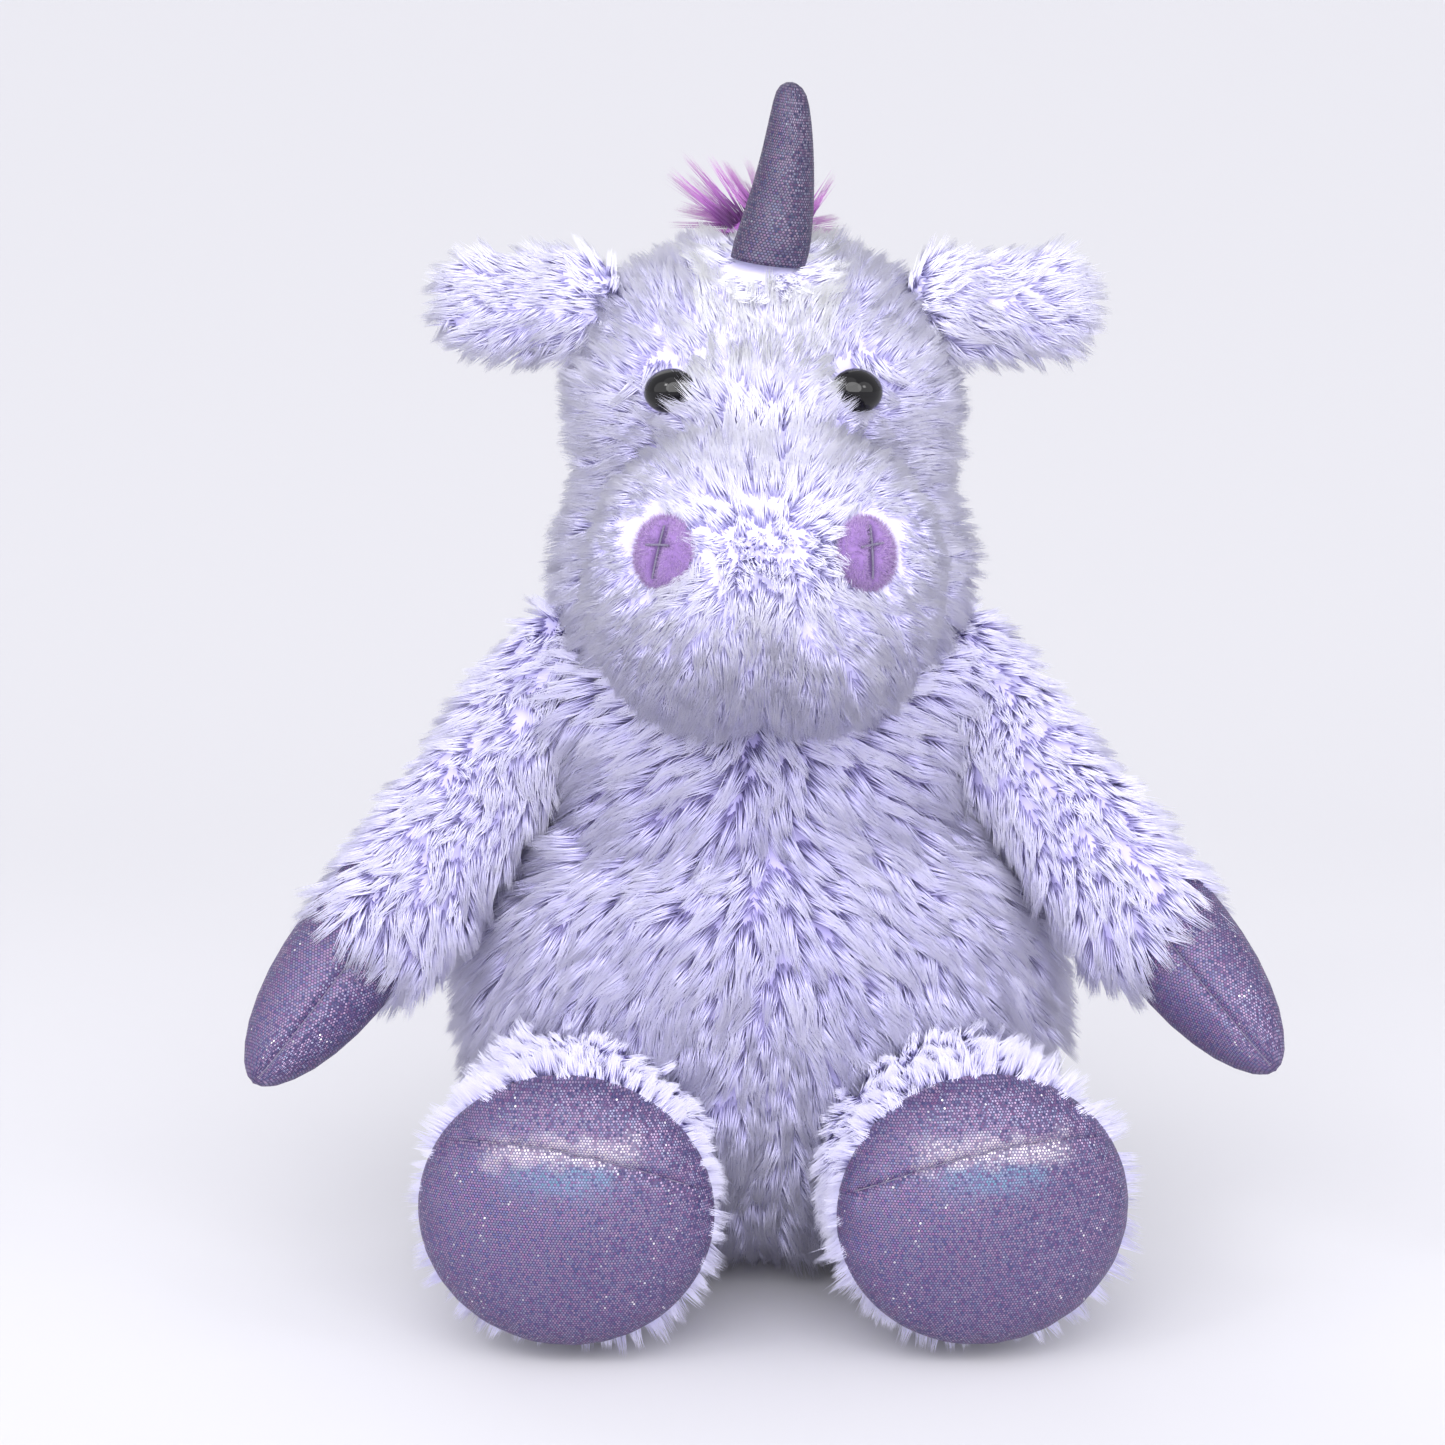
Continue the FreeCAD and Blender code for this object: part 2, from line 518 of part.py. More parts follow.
def leg_tube(name, wall, length):
    """A round hip with a level tube towards -Y."""
    hip = sphere(f"{name}Hip", f"Sheet.LegRadius - {wall}")
    tube = cylinder(f"{name}Tube", f"Sheet.LegRadius - {wall}", length, at(turn="rotationx(90)"))
    return [hip, tube]


def sole_form(name, wall):
    return ellipsoid(name, f"Sheet.SoleHalfWidth - {wall}", f"Sheet.SoleCrown - {wall}",
                     f"Sheet.SoleHalfHeight - {wall}", at(y="-Sheet.SoleDistance"))


def leg(name, side, word):
    place = leg_place(word, side)
    outside = fuse(f"{word}LegOutside", *leg_tube(f"{word}LegOuter", "0", "Sheet.LegFurLength"))
    inside = fuse(f"{word}LegInside", *leg_tube(f"{word}LegInner", "Sheet.LimbFurDepth",
                                                "Sheet.SoleDistance - Sheet.SoleTuckIn"))
    sole_outside = sole_form(f"{word}SoleOutside", "0")
    sole_inside = sole_form(f"{word}SoleInside", "Sheet.CoverWall")

    fur = cut(f"{word}LegFur", outside, inside, sole_outside)
    for face, high in (("upper", ("0", None)), ("under", (None, "0"))):
        region = block(f"{word}Leg_{face}_region", z=high)
        node(f"leg_{name}_{face}", common(f"{word}Leg_{face}", fur, region, place=place))

    cover = cut(f"{word}SoleCover", sole_outside, sole_inside)
    showing = (None, "Sheet.SoleTuckIn - Sheet.SoleDistance")
    for piece, high in (("sole", (None, "Sheet.SoleSeamRise")), ("hoof_cap", ("Sheet.SoleSeamRise", None))):
        region = block(f"{word}_{piece}_region", y=showing, z=high)
        node(f"leg_{piece}_{name}", common(f"{word}_{piece}_panel", cover, region, place=place))

    node(f"leg_stuffing_{name}", fuse(f"{word}LegFilling", inside, sole_inside, place=place))


for name, side, word in SIDES:
    leg(name, side, word)


# ---- Tail: a brushed tuft that hangs behind the seat ----

node("tail", ellipsoid("Tail", "Sheet.TailHalfWidth", "Sheet.TailHalfDepth", "Sheet.TailHalfHeight",
                       at("0", "Sheet.TailSetBack", "Sheet.TailHeight")))


# ---- Check and write ----

doc.recompute()
for obj in doc.Objects:
    if "Invalid" in obj.State or "Error" in obj.State:
        raise RuntimeError(f"{obj.Name} failed: {obj.State}")
for name, obj in nodes.items():
    shape = obj.Shape
    if shape.isNull() or not shape.isValid() or not shape.Solids:
        raise RuntimeError(f"{name} has no valid solid")

os.makedirs("parts", exist_ok=True)
for name, obj in nodes.items():
    obj.Shape.exportStep(f"parts/{name}.step")
    print(f"{name:24s} {len(obj.Shape.Solids)} solid {obj.Shape.Volume:10.0f} mm3")
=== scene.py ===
import math

import bmesh
import bpy
import numpy as np
from bpy.props import FloatProperty, FloatVectorProperty, IntProperty, PointerProperty
from mathutils import Matrix, Vector
from mathutils.bvhtree import BVHTree


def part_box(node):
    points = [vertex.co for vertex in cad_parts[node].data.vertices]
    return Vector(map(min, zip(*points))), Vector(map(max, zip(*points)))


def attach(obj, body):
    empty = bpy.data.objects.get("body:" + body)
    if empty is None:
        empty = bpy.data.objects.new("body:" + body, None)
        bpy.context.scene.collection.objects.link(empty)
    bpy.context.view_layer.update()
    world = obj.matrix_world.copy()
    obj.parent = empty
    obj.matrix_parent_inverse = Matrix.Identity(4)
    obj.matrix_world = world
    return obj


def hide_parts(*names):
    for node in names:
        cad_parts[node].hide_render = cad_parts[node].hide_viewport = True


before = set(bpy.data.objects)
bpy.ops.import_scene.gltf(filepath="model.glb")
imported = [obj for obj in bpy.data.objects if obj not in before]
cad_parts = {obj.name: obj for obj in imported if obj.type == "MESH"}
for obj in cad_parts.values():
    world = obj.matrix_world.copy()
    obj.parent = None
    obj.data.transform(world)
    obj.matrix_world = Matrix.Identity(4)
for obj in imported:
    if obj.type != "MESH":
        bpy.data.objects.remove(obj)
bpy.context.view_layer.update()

bl_info = {
    "name": "Plush Unicorn",
    "version": (1, 0, 0),
    "blender": (4, 5, 0),
    "location": "3D View > Sidebar > Unicorn",
    "description": "A seated plush unicorn with long tufted fur and shiny knit hooves",
    "category": "Add Mesh",
}

MM = 0.001
SIDES = (("left", -1), ("right", 1))
WHITE, BLACK = (1, 1, 1), (0, 0, 0)
BAKE_UV = "OFBake"      # across a fibre's shade, up from its root to its tip
KNIT_UV = "Knit"        # lengths along the cloth, in metres


def mm(*values):
    """A vector given in millimetres."""
    return Vector(values) * MM


def tint(red, green, blue):
    """A screen colour, 0 to 255, as Blender's linear colour."""
    scaled = (value / 255 for value in (red, green, blue))
    return tuple(v / 12.92 if v <= 0.04045 else ((v + 0.055) / 1.055) ** 2.4 for v in scaled)


def middle(node):
    """Middle of a CAD node's box."""
    low, high = (Vector(corner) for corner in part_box(node))
    return (low + high) / 2


# ---------------------------------------------------------------- settings

def length(name, default, description):
    return FloatProperty(name=name, default=default * MM, min=0, subtype="DISTANCE", unit="LENGTH",
                         precision=4, description=description)


def colour(name, shade, description):
    return FloatVectorProperty(name=name, default=tint(*shade), min=0, max=1, size=3, subtype="COLOR",
                               description=description)


class UnicornPile(bpy.types.PropertyGroup):
    """How long and how thick the fur is."""

    body: length("Body Fur", 13, "Length of the fur on the body")
    head: length("Head Fur", 9.5, "Length of the fur on the head")
    muzzle: length("Muzzle Fur", 7.5, "Length of the fur on the muzzle and chin")
    ears: length("Ear Fur", 8.5, "Length of the fur on the ears")
    limbs: length("Limb Fur", 10.5, "Length of the fur on the arms and legs")
    mane: length("Mane", 17, "Length of the mane, the forelock and the tail")
    spacing: length("Tuft Spacing", 3.2, "Distance from one tuft of fur to the next")
    fibre_width: length("Fibre Width", 0.5, "Width of one fibre at its root")
    fibres: IntProperty(name="Fibres per Tuft", default=28, min=1, max=60,
                        description="Fibres that lean together in one tuft")
    seed: IntProperty(name="Seed", default=7, min=0, description="Start of the fur's random numbers")


class UnicornColours(bpy.types.PropertyGroup):
    """The colours of the plush."""

    # The fur root colour is partly the fur's own deep roots and partly painted shade between the tufts.
    fur_root: colour("Fur Root", (134, 118, 190), "Deep colour between the tufts")
    fur_middle: colour("Fur Middle", (214, 210, 247), "Colour of the fur halfway up")
    fur_tip: colour("Fur Tip", (236, 234, 254), "Colour at the tips of the fur")
    blaze: colour("Blaze", (252, 252, 255), "The pale strip down the face")
    mane_root: colour("Mane Root", (128, 52, 150), "Deep colour of the mane")
    mane_tip: colour("Mane Tip", (206, 140, 212), "Tips of the mane")
    knit: colour("Shiny Knit", (48, 37, 84), "Ground cloth of the hooves and soles")
    foil: colour("Foil Dots", (113, 95, 136), "Foil dots printed on the knit")
    horn: colour("Horn Knit", (33, 24, 60), "Ground cloth of the horn")
    nostril: colour("Nostril", (167, 133, 194), "Short pile of the nostrils")
    thread: colour("Thread", (62, 44, 98), "Sewing thread")
    floor: colour("Floor", (208, 207, 212), "Floor and background")


class UnicornSettings(bpy.types.PropertyGroup):
    """Settings of the plush unicorn."""

    pile: PointerProperty(type=UnicornPile)
    colours: PointerProperty(type=UnicornColours)


def settings():
    return bpy.context.scene.plush_unicorn


# ---------------------------------------------------------------- forms

def ball(at, radii):
    """Matrix that makes a unit sphere an ellipsoid. All in millimetres."""
    return Matrix.Translation(mm(*at)) @ Matrix.Diagonal((*mm(*radii), 1))


def string(start, end, first, last, count):
    """A row of balls from start to end whose radius changes from first to last."""
    start, end = Vector(start), Vector(end)
    balls = []
    for step in range(count):
        share = step / (count - 1)
        balls.append(ball(start.lerp(end, share), (first + (last - first) * share,) * 3))
    return balls


def mesh_object(name, mesh):
    obj = bpy.data.objects.new(name, mesh)
    bpy.context.collection.objects.link(obj)
    return obj


def baked(obj):
    """The object's mesh with its modifiers applied. The object itself goes."""
    graph = bpy.context.evaluated_depsgraph_get()
    mesh = bpy.data.meshes.new_from_object(obj.evaluated_get(graph))
    old, store = obj.data, bpy.data.curves if obj.type == "CURVE" else bpy.data.meshes
    bpy.data.objects.remove(obj)
    store.remove(old)
    return mesh


def skin(name, balls, voxel=2.6, smooth=14):
    """One smooth closed skin round overlapping balls."""
    bm = bmesh.new()
    for matrix in balls:
        bmesh.ops.create_icosphere(bm, subdivisions=4, radius=1, matrix=matrix)
    mesh = bpy.data.meshes.new(name)
    bm.to_mesh(mesh)
    bm.free()
    obj = mesh_object(name, mesh)
    remesh = obj.modifiers.new("Join", "REMESH")
    remesh.mode, remesh.voxel_size = "VOXEL", voxel * MM
    soften = obj.modifiers.new("Soften", "SMOOTH")
    soften.factor, soften.iterations = 0.5, smooth
    return baked(obj)


def stuffed(mesh, cap):
    """Blows a skin up from inside as filling does, each point by no more than cap millimetres."""
    obj = mesh_object("Stuffing", mesh.copy())
    cloth = obj.modifiers.new("Filling", "CLOTH")
    cloth.settings.use_pressure = True
    cloth.settings.uniform_pressure_force = 4
    cloth.settings.effector_weights.gravity = 0
    cloth.point_cache.frame_start, cloth.point_cache.frame_end = 1, 20
    scene = bpy.context.scene
    for step in range(1, 21):
        scene.frame_set(step)
        bpy.context.view_layer.update()
    graph = bpy.context.evaluated_depsgraph_get()
    swollen = obj.evaluated_get(graph).data
    before, after = places(mesh), places(swollen)
    move = after - before
    far = np.linalg.norm(move, axis=1, keepdims=True)
    move *= np.minimum(1, cap * MM / np.maximum(far, 1e-9))
    old = obj.data
    bpy.data.objects.remove(obj)
    bpy.data.meshes.remove(old)
    scene.frame_set(1)
    mesh.vertices.foreach_set("co", (before + move).astype(np.float32).ravel())
    mesh.update()
    return mesh


def places(mesh):
    out = np.empty(len(mesh.vertices) * 3, np.float32)
    mesh.vertices.foreach_get("co", out)
    return out.reshape(-1, 3).astype(float)


def rest_on_floor(mesh, lowest=1.5):
    """Flattens what hangs below the seat."""
    spots = places(mesh)
    low = lowest * MM
    spots[:, 2] = np.where(spots[:, 2] < low, low + (spots[:, 2] - low) * 0.02, spots[:, 2])
    mesh.vertices.foreach_set("co", spots.astype(np.float32).ravel())
    mesh.update()
    return mesh


def flesh(name, mesh, shrink, body):
    """The closed piece of filling inside a skin, drawn in by shrink millimetres."""
    inner = mesh.copy()
    bm = bmesh.new()
    bm.from_mesh(inner)
    bm.normal_update()
    for vert in bm.verts:
        vert.co -= vert.normal * shrink * MM
        vert.co.z = max(vert.co.z, 1.0 * MM)
    bmesh.ops.smooth_vert(bm, verts=bm.verts, factor=0.5, use_axis_x=True, use_axis_y=True, use_axis_z=True)
    bm.to_mesh(inner)
    bm.free()
    obj = mesh_object(name, inner)
    wear(obj, FINISHES["fibre_filling"])
    smooth_shade(inner)
    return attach(obj, body)


def smooth_shade(mesh):
    mesh.polygons.foreach_set("use_smooth", [True] * len(mesh.polygons))
    mesh.update()


def wear(obj, *materials):
    obj.data.materials.clear()
    for material in materials:
        obj.data.materials.append(material)
    return obj


def cut_to(bm, planes):
    """Keeps what lies on the normal's side of every plane (point, normal)."""
    for point, normal in planes:
        bmesh.ops.bisect_plane(bm, geom=bm.verts[:] + bm.edges[:] + bm.faces[:], dist=1e-7,
                               plane_co=point, plane_no=normal, clear_inner=True)


def tree_of(mesh):
    bm = bmesh.new()
    bm.from_mesh(mesh)
    tree = BVHTree.FromBMesh(bm)
    bm.free()
    return tree


def limits(x=(None, None), y=(None, None), z=(None, None)):
    """Planes that keep a box-shaped region. Each pair is in millimetres; None is open."""
    planes = []
    for axis, (low, high) in enumerate((x, y, z)):
        for value, sign in ((low, 1), (high, -1)):
            if value is not None:
                spot, normal = Vector((0, 0, 0)), Vector((0, 0, 0))
                spot[axis], normal[axis] = value * MM, sign
                planes.append((spot, normal))
    return planes


# ---------------------------------------------------------------- fur

def unit(vectors):
    return vectors / np.maximum(np.linalg.norm(vectors, axis=-1, keepdims=True), 1e-12)


def wander(points, span, seed):
    """Smooth random numbers, about -1 to 1, that change over span millimetres."""
    rng = np.random.default_rng(seed)
    total = np.zeros(len(points))
    for _ in range(6):
        wave = unit(rng.normal(size=3)) * 2 * np.pi / (span * MM) * rng.uniform(0.6, 1.5)
        total += np.sin(points @ wave + rng.uniform(0, 2 * np.pi))
    return total / 2.4


def triangles(mesh):
    """Corner indices of the mesh's triangles."""
    mesh.calc_loop_triangles()
    out = np.empty(len(mesh.loop_triangles) * 3, np.int32)
    mesh.loop_triangles.foreach_get("vertices", out)
    return out.reshape(-1, 3)


def tuft_places(mesh, spacing, seed):
    """Evenly scattered points on a mesh, and its smooth normal at each."""
    rng = np.random.default_rng(seed)
    spots, faces = places(mesh), triangles(mesh)
    normals = np.empty(len(mesh.vertices) * 3, np.float32)
    mesh.vertices.foreach_get("normal", normals)
    normals = normals.reshape(-1, 3)
    a, b, c = (spots[faces[:, i]] for i in range(3))
    areas = np.linalg.norm(np.cross(b - a, c - a), axis=1) / 2
    count = int(areas.sum() / spacing ** 2 * 3.2)
    pick = np.searchsorted(np.cumsum(areas), rng.uniform(0, areas.sum(), count))
    pick = np.minimum(pick, len(faces) - 1)
    u, v = rng.uniform(size=(2, count, 1))
    flip = u + v > 1
    u, v = np.where(flip, 1 - u, u), np.where(flip, 1 - v, v)
    weights = (1 - u - v, u, v)
    points = sum(w * spots[faces[pick, i]] for i, w in enumerate(weights))
    facing = unit(sum(w * normals[faces[pick, i]] for i, w in enumerate(weights)))
    kept, cells = [], {}
    for index, cell in enumerate(map(tuple, np.floor(points / spacing).astype(int))):
        near = [n for dx in (-1, 0, 1) for dy in (-1, 0, 1) for dz in (-1, 0, 1)
                for n in cells.get((cell[0] + dx, cell[1] + dy, cell[2] + dz), ())]
        if not near or np.min(np.sum((points[near] - points[index]) ** 2, axis=1)) > (0.78 * spacing) ** 2:
            cells.setdefault(cell, []).append(index)
            kept.append(index)
    return points[kept], facing[kept]


def outside(points, trees, depth=1.0):
    """True where a point isn't buried deeper than depth millimetres in another form."""
    free = np.ones(len(points), bool)
    for tree in trees:
        for index in np.nonzero(free)[0]:
            spot = Vector(points[index])
            near, normal, _, _ = tree.find_nearest(spot)
            free[index] = (spot - near).dot(normal) > -depth * MM
    return free


def fibre_shape():
    """One slim three-sided fibre. Returns its points and triangles."""
    bm = bmesh.new()
    bmesh.ops.create_cone(bm, cap_ends=True, segments=3, radius1=1, radius2=0, depth=1,
                          matrix=Matrix.Translation((0, 0, 0.5)))
    bmesh.ops.remove_doubles(bm, verts=bm.verts, dist=1e-5)
    bmesh.ops.triangulate(bm, faces=bm.faces)
    bm.normal_update()
    bm.verts.index_update()
    spots = np.array([vert.co for vert in bm.verts])
    faces = np.array([[vert.index for vert in face.verts] for face in bm.faces])
    bm.free()
    return spots, faces


def grow(points, normals, flow, lengths, leans, shades, width, count, seed, reach=0.0026, gather=0.66):
    """Tufts of fibres. Returns points, triangles and the shade and height of each point."""
    rng = np.random.default_rng(seed)
    form, form_faces = fibre_shape()
    total = len(points)
    flow = unit(flow - np.sum(flow * normals, axis=1, keepdims=True) * normals)
    side = np.cross(normals, flow)
    angle = rng.uniform(0, 2 * np.pi, (total, count, 1))
    far = np.sqrt(rng.uniform(0, 1, (total, count, 1))) * reach
    n, f, s = normals[:, None], flow[:, None], side[:, None]
    root = points[:, None] + far * (np.cos(angle) * f + np.sin(angle) * s) - 0.0005 * n
    long = lengths[:, None, None] * rng.uniform(0.7, 1.0, (total, count, 1))
    lean = leans[:, None, None] + rng.normal(0, 0.1, (total, count, 1))
    stray = rng.normal(0, 0.14, (total, count, 1))
    aim = np.cos(lean) * n + np.sin(lean) * (f + stray * s)
    own = root + long * aim
    mid_aim = np.cos(leans)[:, None] * normals + np.sin(leans)[:, None] * flow
    shared = (points + lengths[:, None] * mid_aim)[:, None]
    pull = np.clip(rng.normal(gather, 0.16, (total, count, 1)), 0, 0.97)
    tip = own + (shared - own) * pull + rng.normal(0, 0.0003, (total, count, 3))
    axis = unit(tip - root)
    across = unit(np.cross(axis, n))
    up = np.cross(across, axis)
    t = form[:, 2][None, None, :, None]
    curve = root[:, :, None] + t * (tip - root)[:, :, None]
    around = np.linalg.norm(form[:, :2], axis=1)
    spin = form[:, :2] / np.maximum(around, 1e-9)[:, None]
    twist = rng.uniform(-0.5, 0.5, (total, count, 1, 1))
    a = spin[None, None, :, 0:1] * np.cos(twist) - spin[None, None, :, 1:2] * np.sin(twist)
    b = spin[None, None, :, 0:1] * np.sin(twist) + spin[None, None, :, 1:2] * np.cos(twist)
    thick = width / 2 * (1 - t) * rng.uniform(0.7, 1.25, (total, count, 1, 1))
    solid = curve + thick * (a * across[:, :, None] + b * up[:, :, None])
    solid[..., 2] = np.maximum(solid[..., 2], 0.0003)
    own_shade = shades[:, None, None] + rng.normal(0, 0.06, (total, count, 1))
    shade = np.clip(own_shade + 0.02 * form[:, 0][None, None, :], 0.01, 0.99)
    height = np.broadcast_to(0.06 + 0.93 * form[:, 2][None, None, :], shade.shape)
    step = np.arange(total * count)[:, None, None] * len(form)
    faces = (form_faces[None] + step).reshape(-1, 3)
    return solid.reshape(-1, 3), faces, np.stack((shade.ravel(), height.ravel()), axis=1)


def mesh_from(name, spots, faces, uv):
    """A mesh of triangles with a shade and height for every corner."""
    mesh = bpy.data.meshes.new(name)
    mesh.vertices.add(len(spots))
    mesh.vertices.foreach_set("co", spots.astype(np.float32).ravel())
    mesh.loops.add(len(faces) * 3)
    mesh.loops.foreach_set("vertex_index", faces.astype(np.int32).ravel())
    mesh.polygons.add(len(faces))
    mesh.polygons.foreach_set("loop_start", np.arange(0, len(faces) * 3, 3, dtype=np.int32))
    mesh.update(calc_edges=True)
    mesh.validate()
    layer = mesh.uv_layers.new(name=BAKE_UV)
    layer.data.foreach_set("uv", uv[faces.ravel()].astype(np.float32).ravel())
    smooth_shade(mesh)
    return mesh


def backing(form, planes, wall=0.9):
    """The knitted backing of one fur panel: the form's skin cut to the panel, with a thickness."""
    bm = bmesh.new()
    bm.from_mesh(form)
    cut_to(bm, planes)
    bm.normal_update()
    bmesh.ops.solidify(bm, geom=bm.faces, thickness=wall * MM)
    bmesh.ops.triangulate(bm, faces=bm.faces)
    bm.verts.index_update()
    spots = np.array([vert.co for vert in bm.verts])
    faces = np.array([[vert.index for vert in face.verts] for face in bm.faces])
    bm.free()
    spots[:, 2] = np.maximum(spots[:, 2], 0.0002)
    return spots, faces


class Coat:
    """The fur of one form: where its tufts stand, and how each one lies."""

    def __init__(self, form, lengths, flow, lean, shade, spacing=None, seed=0, clear_of=()):
        pile = settings().pile
        self.form, self.seed = form, pile.seed * 1000 + seed
        spacing = spacing or pile.spacing
        self.points, self.normals = tuft_places(form, spacing, self.seed)
        if clear_of:
            keep = outside(self.points, clear_of)
            self.points, self.normals = self.points[keep], self.normals[keep]
        p, n = self.points, self.normals
        self.lengths = lengths(p, n) * (1 + 0.12 * wander(p, 14, self.seed + 1))
        turn = 0.30 * wander(p, 16, self.seed + 2) + 0.22 * wander(p, 7, self.seed + 3)
        way = flow(p, n)
        way = unit(way - np.sum(way * n, axis=1, keepdims=True) * n)
        self.flow = way * np.cos(turn)[:, None] + np.cross(n, way) * np.sin(turn)[:, None]
        self.leans = np.clip(lean(p, n) + 0.14 * wander(p, 9, self.seed + 4), 0.05, 1.35)
        self.shades = shade(p, n) + 0.09 * wander(p, 8, self.seed + 5)
        self.shade = shade

    def panel(self, name, node, body, slot, planes, material, fibres=None, width=None, reach=None):
        """One sewn panel: its backing, and every tuft that is rooted on it."""
        pile = settings().pile
        p = self.points
        keep = self.lengths > 1e-4
        for point, normal in planes:
            keep &= (p - np.array(point)) @ np.array(normal) >= 0
        spots, faces = backing(self.form, planes)
        shade = self.shade(spots, spots) + 0.1 * wander(spots, 9, self.seed + 6)
        base_uv = np.stack((np.clip(shade, 0.02, 0.98), 0.24 + 0.04 * wander(spots, 6, self.seed + 7)), 1)
        tufts = grow(p[keep], self.normals[keep], self.flow[keep], self.lengths[keep], self.leans[keep],
                     self.shades[keep], width or pile.fibre_width, fibres or pile.fibres, self.seed + 8,
                     reach or 0.75 * pile.spacing)
        mesh = mesh_from(name, np.concatenate((spots, tufts[0])),
                         np.concatenate((faces, tufts[1] + len(spots))), np.concatenate((base_uv, tufts[2])))
        obj = wear(mesh_object(name, mesh), material)
        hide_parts(node)
        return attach(obj, body)


# ---------------------------------------------------------------- materials

class Value:
    """A socket's number, on which arithmetic can be written. Every step is one Math node."""

    def __init__(self, finish, socket):
        self.finish, self.socket = finish, socket

    def step(self, operation, *values):
        node = self.finish.node("ShaderNodeMath", {i: v for i, v in enumerate(values)}, operation=operation)
        return Value(self.finish, node.outputs[0])

    def __add__(self, other):
        return self.step("ADD", self, other)

    def __radd__(self, other):
        return self.step("ADD", other, self)

    def __sub__(self, other):
        return self.step("SUBTRACT", self, other)

    def __rsub__(self, other):
        return self.step("SUBTRACT", other, self)

    def __mul__(self, other):
        return self.step("MULTIPLY", self, other)

    def __rmul__(self, other):
        return self.step("MULTIPLY", other, self)

    def __truediv__(self, other):
        return self.step("DIVIDE", self, other)

    def __pow__(self, other):
        return self.step("POWER", self, other)

    def floor(self):
        return self.step("FLOOR", self)

    def part(self):
        return self.step("FRACT", self)

    def size(self):
        return self.step("ABSOLUTE", self)


class Finish:
    """One procedural material under construction."""

    def __init__(self, name, rough=0.5, sheen=0.0, base=None):
        self.material = bpy.data.materials.new(name)
        self.material.use_nodes = True
        self.tree = self.material.node_tree
        self.tree.nodes.clear()
        self.shader = self.node("ShaderNodeBsdfPrincipled", {"Roughness": rough, "Sheen Weight": sheen})
        if base is not None:
            self.shader.inputs["Base Color"].default_value = (*base, 1)
        output = self.node("ShaderNodeOutputMaterial")
        self.tree.links.new(self.shader.outputs[0], output.inputs[0])

    def node(self, kind, sockets=None, **facts):
        node = self.tree.nodes.new(kind)
        stops = facts.pop("stops", None)
        for name, value in facts.items():
            setattr(node, name, value)
        if stops:
            ramp = node.color_ramp
            while len(ramp.elements) < len(stops):
                ramp.elements.new(1)
            for element, (place, shade) in zip(ramp.elements, stops):
                element.position = place
                element.color = (*shade, 1)
        for name, value in (sockets or {}).items():
            self.set(node, name, value)
        return node

    def set(self, node, name, value):
        if isinstance(value, Value):
            value = value.socket
        if isinstance(value, bpy.types.NodeSocket):
            self.tree.links.new(value, node.inputs[name])
        else:
            node.inputs[name].default_value = value

    def shade(self, **sockets):
        """Links or sets the shader's own sockets, named with underscores."""
        for name, value in sockets.items():
            self.set(self.shader, name.replace("_", " "), value)
        return self

    def value(self, socket):
        return Value(self, socket)

    def uv(self, layer):
        node = self.node("ShaderNodeUVMap", uv_map=layer)
        parts = self.node("ShaderNodeSeparateXYZ", {0: node.outputs[0]})
        return node.outputs[0], self.value(parts.outputs[0]), self.value(parts.outputs[1])

    def place(self, scale=1.0):
        """Object coordinates, centred and scaled by a Mapping node."""
        source = self.node("ShaderNodeTexCoord").outputs["Object"]
        return self.node("ShaderNodeMapping", {0: source, "Scale": (scale,) * 3}).outputs[0]

    def noise(self, vector, scale, detail=2.0, rough=0.5):
        node = self.node("ShaderNodeTexNoise", {"Vector": vector, "Scale": scale, "Detail": detail,
                                                "Roughness": rough})
        return self.value(node.outputs["Fac"])

    def ramp(self, factor, *stops):
        return self.node("ShaderNodeValToRGB", {0: factor}, stops=stops).outputs[0]

    def mix(self, factor, first, second):
        """The first colour where the factor is 0, the second where it is 1."""
        first, second = ((*shade, 1) if isinstance(shade, tuple) else shade for shade in (first, second))
        return self.node("ShaderNodeMix", {0: factor, 6: first, 7: second}, data_type="RGBA").outputs[2]

    def fade(self, number, out, full):
        """1 where the number is at full, falling smoothly to 0 where it is at out."""
        node = self.node("ShaderNodeMapRange", {0: number, 1: out, 2: full, 3: 0.0, 4: 1.0},
                         interpolation_type="SMOOTHSTEP")
        return self.value(node.outputs[0])

    def bump(self, height, strength=0.3, distance=0.0005):
        node = self.node("ShaderNodeBump", {"Height": height, "Strength": strength, "Distance": distance})
        return self.shade(Normal=node.outputs[0])


def between(first, second, share):
    return tuple(a + (b - a) * share for a, b in zip(first, second))


def fur_finish(name, root, mid, tip, pale):
    """Fur that is deep at its roots and pale at its tips; the deep roots are partly the fur's own colour and
    partly painted shade between the tufts.
    The shade runs from a darker copy of the fur's own colours at 0, which also carries painted shade, to the
    pale ones at 1."""
    finish = Finish(name, rough=0.7)
    _, shade, height = finish.uv(BAKE_UV)
    # The deep ramp ends short of the pale tip: a darker, shaded copy of the fur used where the shade number
    # is low, which carries the painted shade on the chest and the leg rims.
    deep = finish.ramp(height, (0.0, root), (0.22, between(root, mid, 0.35)), (0.55, mid),
                       (0.86, between(mid, tip, 0.4)), (1.0, between(mid, tip, 0.7)))
    light = finish.ramp(height, (0.0, between(root, mid, 0.45)), (0.22, mid), (0.5, between(mid, pale, 0.6)),
                        (0.8, pale), (1.0, pale))
    finish.shade(Base_Color=finish.mix(shade, deep, light), Specular_IOR_Level=0.15)
    return finish.material


def mane_finish(name, root, tip):
    """Purple pile, deep at its roots and pale at its tips."""
    finish = Finish(name, rough=0.5, sheen=0.2)
    _, shade, height = finish.uv(BAKE_UV)
    strand = finish.ramp(height, (0.0, root), (0.45, between(root, tip, 0.35)), (0.8, tip),
                         (1.0, between(tip, WHITE, 0.35)))
    finish.shade(Base_Color=finish.mix(shade * 0.5, strand, between(root, tip, 0.5)))
    return finish.material

